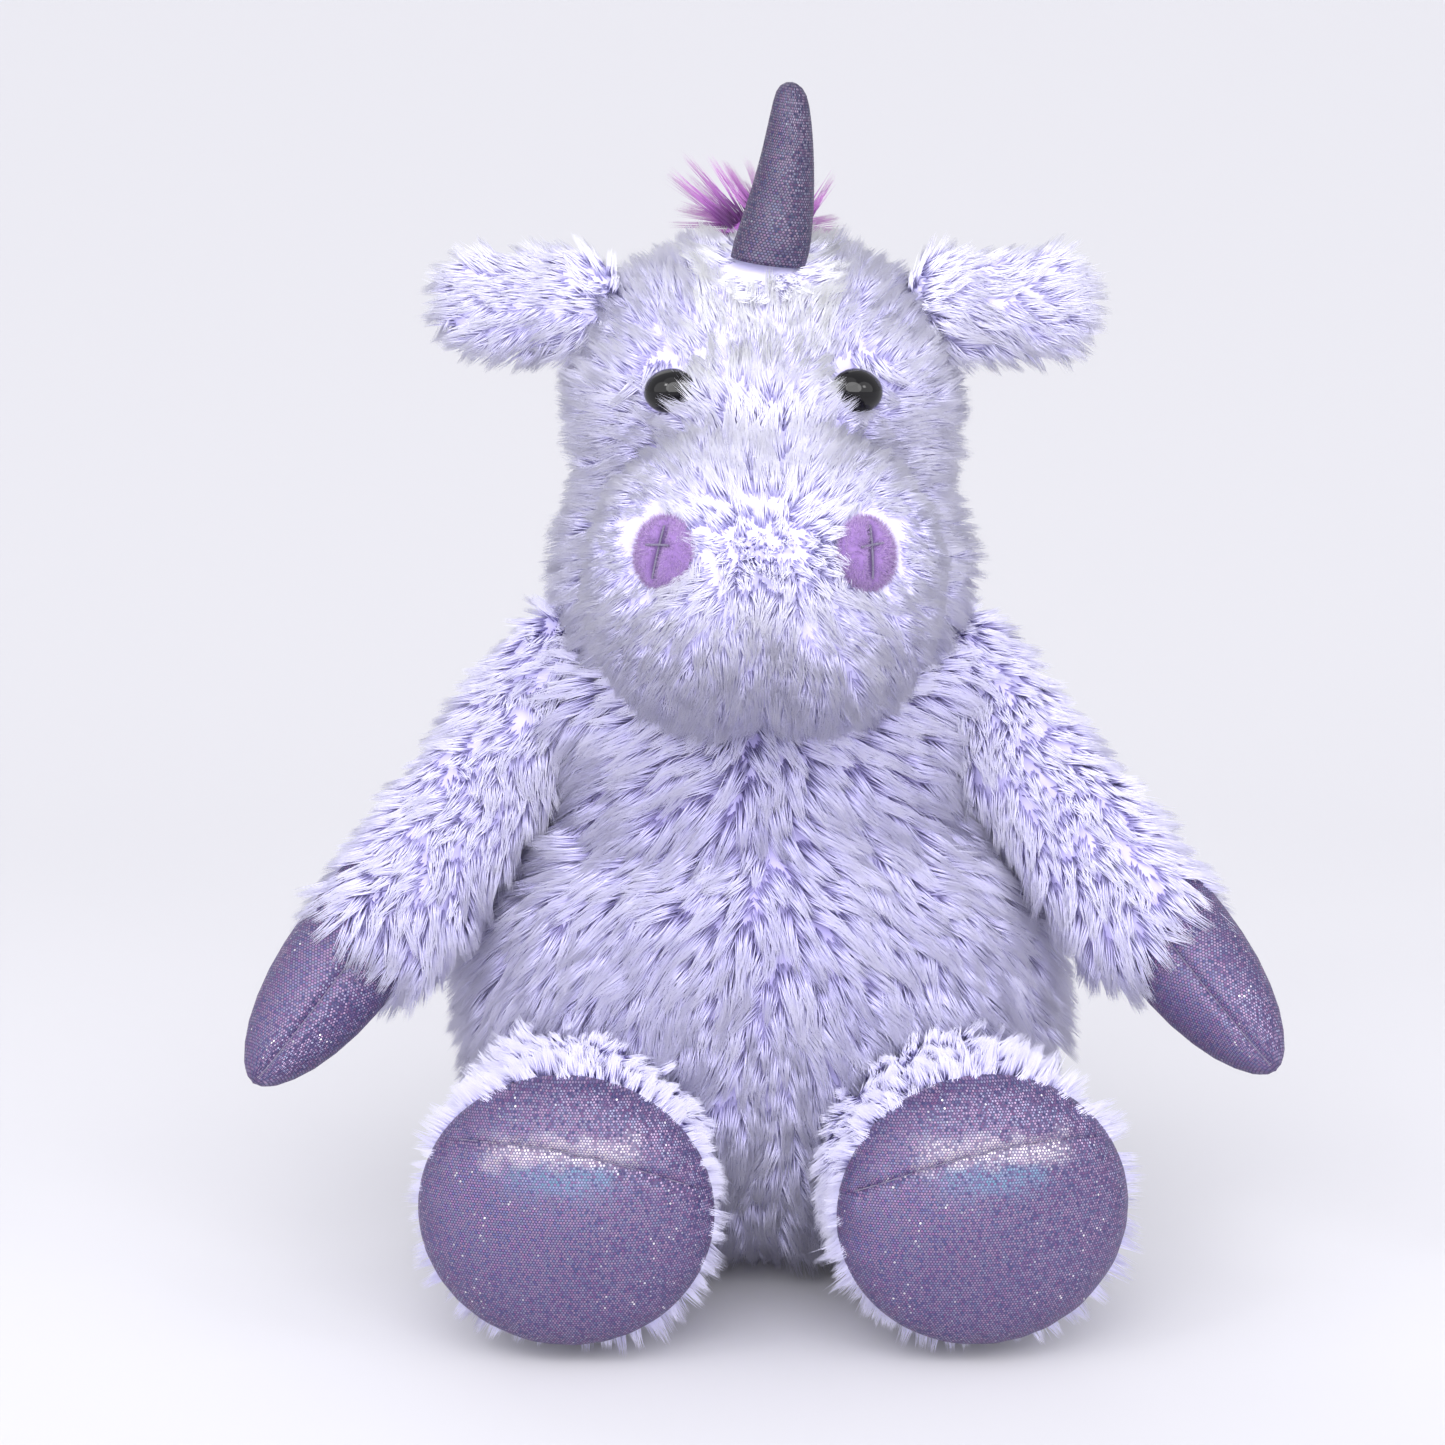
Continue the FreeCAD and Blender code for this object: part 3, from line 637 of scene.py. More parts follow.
def knit_finish(name, cloth, foil, glint, painted_glare_band=None, pitch=0.68):
    """Knit printed with foil dots, each tilted a little its own way. The band, when given, holds the middle
    and half width of a strip of painted glare, where the dots are painted brightest, with a teal painted
    reflection below it, and its half length, in millimetres on the cloth."""
    finish = Finish(name)
    vector, u, v = finish.uv(KNIT_UV)
    across, along = u / (pitch * MM), v / (pitch * MM * 0.866)
    row = along.floor()
    shift = (row * 0.5).part()
    column = (across + shift).floor()
    dx = (across + shift).part() - 0.5
    dy = (along.part() - 0.5) * 0.866
    far = (dx * dx + dy * dy) ** 0.5
    cell = finish.node("ShaderNodeCombineXYZ", {0: column, 1: row}).outputs[0]
    chance = finish.node("ShaderNodeTexWhiteNoise", {"Vector": cell}, noise_dimensions="2D")
    luck = finish.value(chance.outputs["Value"])
    dot = finish.fade(far, 0.42, 0.30)
    patches = finish.noise(vector, 140, 2)
    # Painted glints: a few random dots are shinier and also take the near-white glint colour, a painted
    # highlight.
    spark = finish.fade(luck + patches * 0.5, 1.24, 1.34)
    dots = finish.mix(luck, between(foil, cloth, 0.35), between(foil, WHITE, 0.15))
    hue = finish.node("ShaderNodeHueSaturation", {"Hue": 0.5 + (luck * 7.3).part() * 0.16 - 0.08,
                                                  "Saturation": 1.15, "Color": dots}).outputs[0]
    dots = finish.mix(spark, hue, glint)
    rough = 0.5 - spark * 0.24
    metal = dot * 0.5
    ground = finish.mix(finish.noise(vector, 900, 3), between(cloth, BLACK, 0.18),
                        between(cloth, foil, 0.2))
    # Painted reflection: a white-gold strip of glare along the seam, with a teal painted sheen beneath it,
    # painted into the colour.
    if painted_glare_band:
        centre, half, wide = painted_glare_band
        drift = finish.noise(vector, 150, 3) * 10 - 5
        height, reach = v / MM + drift, (u / MM + drift * 1.4).size()
        ends = finish.fade(reach, wide, wide * 0.6)
        painted_glare_mask = finish.fade((height - centre).size(), half, half * 0.3) * ends
        painted_teal_sheen = finish.fade((height - (centre - half * 1.3)).size(), half * 1.1, half * 0.15) * finish.fade(
            reach, wide * 0.75, wide * 0.4)
        grain = luck ** 1.6
        dots = finish.mix(painted_teal_sheen * grain, dots, tint(112, 150, 178))
        dots = finish.mix(painted_glare_mask * (0.2 + grain * 0.65), dots, tint(224, 215, 214))
        ground = finish.mix(painted_glare_mask * 0.3, finish.mix(painted_teal_sheen * 0.3, ground, tint(84, 104, 140)),
                            tint(150, 138, 170))
    finish.shade(Base_Color=finish.mix(dot, ground, dots), Metallic=metal, Roughness=rough)
    tilt = (luck - 0.5) * (dx * 1.6 + dy * 1.1)
    finish.bump(dot * 0.35 + tilt * dot * 2.2, strength=0.55, distance=0.0004)
    return finish.material


def plush_finish(name, base):
    """Short dense pile, deep at its roots and paler at its tips, and painted a deep purple along its crease
    as painted shade.
    """
    finish = Finish(name, rough=0.8, sheen=0.35)
    _, shade, height = finish.uv(BAKE_UV)
    low = finish.ramp(height, (0.0, between(base, tint(84, 56, 122), 0.85)),
                      (0.6, base), (1.0, between(base, WHITE, 0.3)))
    # Painted shade: where the shade number is high, along the crease, the pile is painted deep purple.
    finish.shade(Base_Color=finish.mix(shade, low, between(base, tint(84, 56, 122), 0.7)))
    return finish.material


def eye_finish():
    """Black plastic, polished."""
    finish = Finish("eye_plastic", base=tint(6, 5, 8))
    finish.shade(Roughness=0.05 + finish.noise(finish.place(), 900, 2) * 0.04, Specular_IOR_Level=0.4)
    return finish.material

def washer_finish():
    """Pale moulded plastic."""
    finish = Finish("washer_plastic", base=tint(226, 226, 224))
    finish.shade(Roughness=0.34 + finish.noise(finish.place(), 600, 3) * 0.16)
    return finish.material

def thread_finish(dark):
    """Plied sewing thread."""
    finish = Finish("thread", rough=0.7, sheen=0.3)
    ply = finish.noise(finish.place(), 2600, 2)
    finish.shade(Base_Color=finish.mix(ply, between(dark, BLACK, 0.3), between(dark, WHITE, 0.18)))
    finish.bump(ply, 0.5, 0.0002)
    return finish.material

def filling_finish():
    """White fibre filling."""
    finish = Finish("fibre_filling", rough=0.9, sheen=0.4)
    fluff = finish.noise(finish.place(), 260, 6, 0.7)
    finish.shade(Base_Color=finish.ramp(fluff, (0.3, tint(214, 214, 218)), (0.7, tint(246, 246, 248))))
    finish.bump(fluff, 0.9, 0.002)
    return finish.material

def pouch_finish(pitch=0.9):
    """Plain woven cloth with one thread to each pitch, in millimetres."""
    finish = Finish("pouch_cloth", rough=0.85)
    spot = finish.node("ShaderNodeSeparateXYZ", {0: finish.place(1 / (pitch * MM))})
    warp, weft = (finish.value(spot.outputs[axis]) for axis in (0, 2))
    weave = (warp.part() - 0.5).size() + (weft.part() - 0.5).size()
    finish.shade(Base_Color=finish.mix(weave, tint(196, 192, 184), tint(236, 233, 226)))
    finish.bump(weave, 0.6, 0.0003)
    return finish.material

def make_finishes():
    """Mixes every material from the chosen colours."""
    colours = settings().colours
    root, mid, tip, blaze, knit, foil, horn = (tuple(getattr(colours, name)) for name in (
        "fur_root", "fur_middle", "fur_tip", "blaze", "knit", "foil", "horn"))
    # Near-white colour of the painted glints on the knit's foil dots.
    glint = tint(250, 246, 248)
    FINISHES.update(
        long_pile_fur=fur_finish("long_pile_fur", root, mid, tip, between(tip, blaze, 0.25)),
        blaze_fur=fur_finish("blaze_fur", root, between(mid, tip, 0.4), between(tip, blaze, 0.5), blaze),
        mane_fur=mane_finish("mane_fur", tuple(colours.mane_root), tuple(colours.mane_tip)),
        shiny_knit=knit_finish("shiny_knit", knit, foil, glint),
        # The soles' knit carries a painted glare strip and a teal painted reflection along the seam.
        sole_knit=knit_finish("sole_knit", knit, foil, glint, painted_glare_band=(16.5, 4.6, 20)),
        # The horn's dots take a pale blue-white painted glint.
        horn_knit=knit_finish("horn_knit", horn, between(foil, horn, 0.5), tint(226, 232, 246)),
        nostril_plush=plush_finish("nostril_plush", tuple(colours.nostril)),
        eye_plastic=eye_finish(), washer_plastic=washer_finish(), thread=thread_finish(tuple(colours.thread)),
        fibre_filling=filling_finish(), pouch_cloth=pouch_finish())

# ---------------------------------------------------------------- the animal's shape

FINISHES, FORMS, TREES = {}, {}, {}     # materials, skins and their search trees, made by the first operator

# Shoulder, lean outwards and lean forwards of each arm; hip and outward turn of each leg.
ARMS = {"left": (-46, 34, 33), "right": (46, 34, 38)}
LEGS = {"left": (-40, 4), "right": (40, 10)}
SHOULDER, HIP = (3, 135), (-36, 34.5)       # depth and height of the shoulders and of the hips
FACE = (0, -52, 196)        # point from which the face's fur spreads
EYE_TURN = (24, 14)         # outward and upward turn of an eye, in degrees


def arm_way(name):
    """Direction from the shoulder to the hoof."""
    spread, out, forward = ARMS[name]
    out, forward = math.radians(out), math.radians(forward)
    return Vector((math.copysign(math.sin(out), spread), -math.cos(out) * math.sin(forward),
                   -math.cos(out) * math.cos(forward)))


def leg_way(name):
    spread, turn = LEGS[name]
    return Vector((math.copysign(math.sin(math.radians(turn)), spread), -math.cos(math.radians(turn)), 0))


def along(start, way, distance):
    return Vector(start) + Vector(way) * distance


def make_forms():
    """The skins under the fur, from which the panels are cut."""
    FORMS["body"] = rest_on_floor(stuffed(skin("body", [
        ball((0, 4, 64), (67, 53, 65)), ball((0, 1, 112), (48, 38, 42)),
        ball((-36, 3, 130), (20, 19, 19)), ball((36, 3, 130), (20, 19, 19)),
        ball((0, 1, 148), (30, 28, 16))], smooth=22), 1.5))
    FORMS["head"] = stuffed(skin("head", [
        ball((0, 0, 200), (41, 37, 37)), ball((0, -3, 172), (42, 37, 27)),
        ball((-21, -6, 162), (23, 27, 19)), ball((21, -6, 162), (23, 27, 19)),
        ball((-11, -53, 169), (26.5, 29, 30)), ball((11, -53, 169), (26.5, 29, 30)),
        ball((-8, -38, 168), (28, 26, 29)), ball((8, -38, 168), (28, 26, 29)),
        ball((0, -28, 196), (24, 20, 22))], smooth=12), 1.0)
    for name, side in SIDES:
        shoulder, way = (ARMS[name][0], *SHOULDER), arm_way(name)
        sleeve = string(along(shoulder, way, -4), along(shoulder, way, 70), 14, 14.5, 9)
        FORMS["arm_" + name] = skin("arm", sleeve, voxel=2.2, smooth=10)
        hip, way = (LEGS[name][0], *HIP), leg_way(name)
        tube = [ball(along(hip, way, d), (28 - 0.35 * abs(d - 26) / 26, 20, 28)) for d in (0, 12, 24, 34)]
        FORMS["leg_" + name] = skin("leg", tube, smooth=8)
        root, tip = side * 41, side * (70.5 if side < 0 else 72)
        mid = (root + tip) / 2
        FORMS["ear_" + name] = skin("ear", [
            ball((root, 1, 223), (9, 5.5, 11.5)), ball((mid - side * 5, 2, 223), (12, 5, 11)),
            ball((mid + side * 4, 2, 223), (12, 4.6, 10.5)),
            ball((tip - side * 8, 2, 223.5), (9, 4.2, 10.5))], voxel=1.6, smooth=8)
    TREES.update({name: tree_of(form) for name, form in FORMS.items()})


def from_point(spot):
    """Flow that spreads over the surface from one point, in millimetres."""
    spot = np.array(mm(*spot))
    return lambda p, n: unit(p - spot)


def even(value):
    """The same number at every point."""
    return lambda p, n: np.full(len(p), float(value))

def gap(p, spot):
    """Distance of each point from one spot."""
    return np.linalg.norm(p - np.array(spot), axis=1)


def ease(values, low, high):
    t = np.clip((values - low) / (high - low), 0, 1)
    return t * t * (3 - 2 * t)


def body_flow(p, n):
    x, z = p[:, 0] / MM, p[:, 2] / MM
    out = np.sign(x) * (0.30 + 0.75 * ease(z, 70, 125)) * ease(np.abs(x), 0, 9)
    return np.stack((out, 0 * x, -np.ones_like(x)), 1)


def body_length(p, n):
    full = settings().pile.body
    x, y, z = p.T / MM
    seam = 1 - 0.35 * (y < 0) * np.exp(-(x / 3.2) ** 2)
    under = 0.3 + 0.7 * ease(z, 3, 16)
    return full * seam * under



# Painted shade: the fur is painted deeper on the upper body, where the chin shades the chest, and paler down
# to the lower belly; it is also darker along the front seam.
def body_shade(p, n):
    x, y, z = p.T / MM
    return 0.26 + 0.52 * ease(z, 100, 25) - 0.12 * (y < 0) * np.exp(-(x / 2.5) ** 2)


def eyelid(p, name, side):
    """How far each point belongs to the fur that falls over the upper outer side of an eye."""
    eye = np.array(middle("eye_" + name))
    turned_to = unit(p - eye) @ np.array((0.62 * side, 0, 0.78))
    return ease(gap(p, eye) / MM, 11, 8) * ease(turned_to, 0.25, 0.6)


def head_flow(p, n):
    x, y, z = p.T / MM
    spread = unit(p - np.array(mm(*FACE)))
    down = np.stack((0 * x, 0 * x, -np.ones_like(x)), 1)
    back = ease(y, -20, 25)[:, None]
    muzzle = unit(p - np.array(mm(0, -80, 186)))
    front = ease(y, -34, -46)[:, None] * ease(z, 214, 200)[:, None]
    flow = spread * (1 - back) + (0.5 * spread + down) * back
    flow = flow * (1 - front) + (muzzle + 0.35 * down * ease(z, 170, 150)[:, None]) * front
    for name, side in SIDES:
        for spot, reach in ((middle("eye_" + name), 9), (middle("nostril_" + name), 12)):
            near = ease(gap(p, spot) / MM, reach, reach * 0.5)[:, None]
            flow = flow * (1 - near) + unit(p - np.array(spot)) * near
        lid = eyelid(p, name, side)[:, None]
        flow = flow * (1 - lid) - lid * np.array((0.62 * side, 0, 0.78))
    horn = middle("horn_cover")
    near = ease(np.hypot(x - horn.x / MM, y - horn.y / MM), 17, 9)[:, None] * (z > 225)[:, None]
    return flow * (1 - near) + unit((p - np.array(horn)) * np.array((1, 1, 0))) * near


def head_length(p, n):
    pile = settings().pile
    x, y, z = p.T / MM
    out = pile.head + (pile.muzzle - pile.head) * ease(y, -30, -48)
    out = out * (1 + 0.25 * ease(z, 162, 148))
    out = out * (1 - 0.25 * ease(y, -12, -28) * ease(z, 205, 215))
    for name, side in SIDES:
        eye = middle("eye_" + name)
        reach = gap(p, eye) / MM
        out = out * (0.5 + 0.5 * ease(reach, 6, 11) + 0.6 * eyelid(p, name, side)) * (reach > 5.0)
        nostril = middle("nostril_" + name)
        reach = np.hypot(x - nostril.x / MM, (z - nostril.z / MM) * 0.9)
        out = out * np.where(y < -50, (0.55 + 0.45 * ease(reach, 6.5, 10)) * (reach > 6.2), 1)
    horn = middle("horn_cover")
    reach = np.hypot(x - (horn.x / MM - 2), y - horn.y / MM)
    return out * np.where(z > 222, (0.6 + 0.4 * ease(reach, 8, 12)) * (reach > 7.2), 1)


def head_lean(p, n):
    x, y, z = p.T / MM
    lean = np.radians(50 + 8 * ease(y, -20, -45)) + np.radians(10) * ease(z, 206, 216) * (y < -5)
    for pole in ((0, -80, 182), FACE):
        lean = lean * (0.35 + 0.65 * ease(gap(p, mm(*pole)) / MM, 4, 20))
    return lean


def head_shade(p, n):
    x, y, z = p.T / MM
    # Paler towards the top of the head: partly the fur's own paler colour and partly painted light from
    # above.
    top = 0.66 + 0.2 * ease(z, 195, 232)
    snout = 0.4 * ease(y, -38, -55) * ease(z, 152, 172) * np.exp(-(x / 30) ** 2)
    # Painted light: the sides of the head are painted paler.
    painted_cheek_light = 0.12 * ease(np.abs(x), 26, 42)
    # Painted light: the fur under the jaw is painted a little paler.
    under = 0.05 * ease(z, 160, 146)
    return np.clip(top + snout + painted_cheek_light + under, 0.05, 0.97)


class UNICORN_OT_prepare(bpy.types.Operator):
    """Shapes the stuffed skins and mixes the materials"""

    bl_idname = "unicorn.prepare"
    bl_label = "Prepare Forms and Materials"

    def execute(self, context):
        make_finishes()
        make_forms()
        return {"FINISHED"}


class UNICORN_OT_body(bpy.types.Operator):
    """Sews the body's four fur panels and its base, and fills it"""

    bl_idname = "unicorn.body"
    bl_label = "Body"

    def execute(self, context):
        others = [TREES[n] for n in ("head", "leg_left", "leg_right", "arm_left", "arm_right")]
        coat = Coat(FORMS["body"], body_length, body_flow, even(math.radians(58)), body_shade, seed=1,
                    clear_of=others)
        left, right = (None, 0), (0, None)
        front, back = (None, 4), (4, None)
        fur = FINISHES["long_pile_fur"]
        for node, across, deep in (("body_front_left", left, front), ("body_front_right", right, front),
                                   ("body_back_left", left, back), ("body_back_right", right, back)):
            coat.panel(node + "_fur", node, "body", "long_pile_fur", limits(across, deep, (6, None)), fur,
                       fibres=36, width=0.44 * MM)
        coat.panel("body_base_fur", "body_base", "body", "long_pile_fur", limits(z=(None, 6)), fur, fibres=14)
        fill = flesh("body_filling", FORMS["body"], 1.6, "body")
        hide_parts("body_stuffing")
        return {"FINISHED"}


class UNICORN_OT_head(bpy.types.Operator):
    """Sews the head's panels, the blaze, the muzzle and the chin, and fills them"""

    bl_idname = "unicorn.head"
    bl_label = "Head and Muzzle"

    def execute(self, context):
        others = [TREES[n] for n in ("body", "ear_left", "ear_right")]
        coat = Coat(FORMS["head"], head_length, head_flow, head_lean, head_shade, seed=2, clear_of=others,
                    spacing=settings().pile.spacing * 0.88)
        fur, pale = FINISHES["long_pile_fur"], FINISHES["blaze_fur"]
        snout, strip = (None, -42), (-14, 14)
        face, nape = (-42, 8), (8, None)
        for node, planes, slot, material in (
                ("head_side_left", limits((None, -14), (-42, None)), "long_pile_fur", fur),
                ("head_side_right", limits((14, None), (-42, None)), "long_pile_fur", fur),
                ("blaze", limits(strip, face, (150, None)), "blaze_fur", pale),
                ("head_back", limits(strip, nape), "long_pile_fur", fur),
                ("muzzle", limits(y=snout, z=(156, None)), "long_pile_fur", fur),
                ("chin", limits(y=snout, z=(None, 156)), "long_pile_fur", fur)):
            coat.panel(node + "_fur", node, "head", slot, planes, material, fibres=36, width=0.37 * MM)
        fill = flesh("head_filling", FORMS["head"], 1.6, "head")
        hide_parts("head_stuffing", "muzzle_stuffing")
        neck = skin("neck", [ball((0, 2, 140), (27, 27, 30))], voxel=2)
        core = flesh("neck_filling", neck, 0.5, "neck")
        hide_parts("neck_stuffing")
        return {"FINISHED"}


class UNICORN_OT_ears(bpy.types.Operator):
    """Sews the front and back of both ears"""

    bl_idname = "unicorn.ears"
    bl_label = "Ears"

    def execute(self, context):
        pile = settings().pile
        for name, side in SIDES:
            def outwards(p, n):
                """Along the ear, and away from its middle line."""
                x, y, z = p.T / MM
                return np.stack((side + 0 * x, 0 * x, -0.25 + (z - 223) * 0.05), 1)

            coat = Coat(FORMS["ear_" + name], even(pile.ears), outwards, even(math.radians(60)),
                        lambda p, n: 0.75 + 0.2 * ease(p[:, 2] / MM, 215, 232),
                        spacing=pile.spacing * 0.85, seed=20 + side, clear_of=[TREES["head"]])
            for face, deep in (("front", (None, 2)), ("back", (2, None))):
                node = f"ear_{name}_{face}"
                coat.panel(node + "_fur", node, "ear_" + name, "long_pile_fur", limits(y=deep),
                           FINISHES["long_pile_fur"], width=0.42 * MM)
        return {"FINISHED"}


class UNICORN_OT_arms(bpy.types.Operator):
    """Sews the front and back fur of both arms, and fills them"""

    bl_idname = "unicorn.arms"
    bl_label = "Arms"

    def execute(self, context):
        pile = settings().pile
        for name, side in SIDES:
            way = arm_way(name)
            shoulder = mm(ARMS[name][0], *SHOULDER)
            flow = np.array(way + Vector((0, 0, -0.25)))
            forward = Vector((0, -1, 0))
            front = (forward - way * way.dot(forward)).normalized()

            def longer_at_cuff(p, n):
                depth = (p - np.array(shoulder)) @ np.array(way) / MM
                return pile.limbs * (0.85 + 0.2 * ease(depth, 40, 74))

            coat = Coat(FORMS["arm_" + name], longer_at_cuff, lambda p, n: np.broadcast_to(flow, p.shape),
                        even(math.radians(58)), lambda p, n: 0.42 + 0.1 * ease(p[:, 2] / MM, 90, 130),
                        seed=30 + side, clear_of=[TREES["body"], TREES["head"]])
            for face, normal in (("front", front), ("back", -front)):
                node = f"arm_{name}_{face}"
                coat.panel(node + "_fur", node, "arm_" + name, "long_pile_fur", [(shoulder, normal)],
                           FINISHES["long_pile_fur"], width=0.46 * MM)
            fill = flesh(f"arm_{name}_filling", FORMS["arm_" + name], 1.6, "arm_" + name)
            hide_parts(f"arm_stuffing_{name}")
        return {"FINISHED"}


class UNICORN_OT_legs(bpy.types.Operator):
    """Sews the upper and under fur of both legs, and fills them"""

    bl_idname = "unicorn.legs"
    bl_label = "Legs"

    def execute(self, context):
        pile = settings().pile
        for name, side in SIDES:
            way, hip = leg_way(name), mm(LEGS[name][0], *HIP)

            def depth(p):
                return (p - np.array(hip)) @ np.array(way) / MM

            def flow(p, n):
                past = p - np.array(hip)
                spread = unit(past - (past @ np.array(way))[:, None] * np.array(way))
                rim = ease(depth(p), 24, 38)[:, None]
                down = np.array((0, 0, -0.35))
                return np.array(way) * (1 - 0.45 * rim) + spread * rim * 0.9 + down * (1 - rim)

            coat = Coat(FORMS["leg_" + name],
                        lambda p, n: pile.limbs * (0.92 + 0.34 * ease(depth(p), 30, 44)) * (depth(p) < 42.5)
                        * (0.45 + 0.55 * ease(p[:, 2] / MM, 6, 16)),
                        flow,
                        lambda p, n: np.radians(56 - 40 * ease(depth(p), 26, 38)),
                        # Painted shade: the fur is painted deeper towards the rim by the sole.
                        lambda p, n: 0.42 - 0.3 * ease(depth(p), 28, 42),
                        seed=40 + side, clear_of=[TREES["body"]])
            for face, normal in (("upper", Vector((0, 0, 1))), ("under", Vector((0, 0, -1)))):
                node = f"leg_{name}_{face}"
                coat.panel(node + "_fur", node, "leg_" + name, "long_pile_fur",
                           [(hip, normal), (along(hip, way, 0.0495), -way)], FINISHES["long_pile_fur"],
                           width=0.46 * MM)
            fill = flesh(f"leg_{name}_filling", FORMS["leg_" + name], 1.6, "leg_" + name)
            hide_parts(f"leg_stuffing_{name}")
        return {"FINISHED"}


# ---------------------------------------------------------------- shiny knit pieces

def turned(profile, steps=96):
    """A closed round shape spun about Z from (radius, height) pairs in millimetres that start and end on
    the axis."""
    bm = bmesh.new()
    rings = [bm.verts.new(mm(r, 0, h)) for r, h in profile]
    edges = [bm.edges.new(pair) for pair in zip(rings, rings[1:])]
    bmesh.ops.spin(bm, geom=rings + edges, cent=(0, 0, 0), axis=(0, 0, 1), angle=2 * math.pi, steps=steps,
                   use_merge=True, use_duplicate=False)
    bmesh.ops.remove_doubles(bm, verts=bm.verts, dist=1e-6)
    bmesh.ops.recalc_face_normals(bm, faces=bm.faces)
    return bm


def finish_mesh(name, bm, material):
    mesh = bpy.data.meshes.new(name)
    bm.to_mesh(mesh)
    bm.free()
    smooth_shade(mesh)
    return wear(mesh_object(name, mesh), material)


def lay_knit(bm, spread):
    """Gives every corner its place along the cloth, in metres, from a function of its point."""
    layer = bm.loops.layers.uv.new(KNIT_UV)
    for face in bm.faces:
        for loop in face.loops:
            loop[layer].uv = spread(loop.vert.co)


def mend_wrap(bm):
    """Keeps a face whose corners straddle the back of the wrap in one piece."""
    layer = bm.loops.layers.uv[KNIT_UV]
    limit = math.pi * 10.5 * MM
    for face in bm.faces:
        us = [loop[layer].uv.x for loop in face.loops]
        if max(us) - min(us) > limit:
            for loop in face.loops:
                if loop[layer].uv.x < 0:
                    loop[layer].uv.x += 2 * limit

def stand(way, up=Vector((0, 0, 1))):
    """Rotation whose Z runs along way and whose Y leans towards up."""
    z = Vector(way).normalized()
    y = (up - z * z.dot(up)).normalized()
    return Matrix((y.cross(z), y, z)).transposed().to_4x4()


def seam_line(name, points, radius, body):
    """A row of thread along points, as a tube."""
    curve = bpy.data.curves.new(name, "CURVE")
    curve.dimensions, curve.bevel_depth, curve.bevel_resolution = "3D", radius * MM, 2
    curve.use_fill_caps = True
    spline = curve.splines.new("NURBS")
    spline.points.add(len(points) - 1)
    for point, spot in zip(spline.points, points):
        point.co = (*spot, 1)
    spline.order_u, spline.use_endpoint_u = 3, True
    mesh = baked(mesh_object(name, curve))
    smooth_shade(mesh)
    made = wear(mesh_object(name, mesh), FINISHES["thread"])
    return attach(made, body)


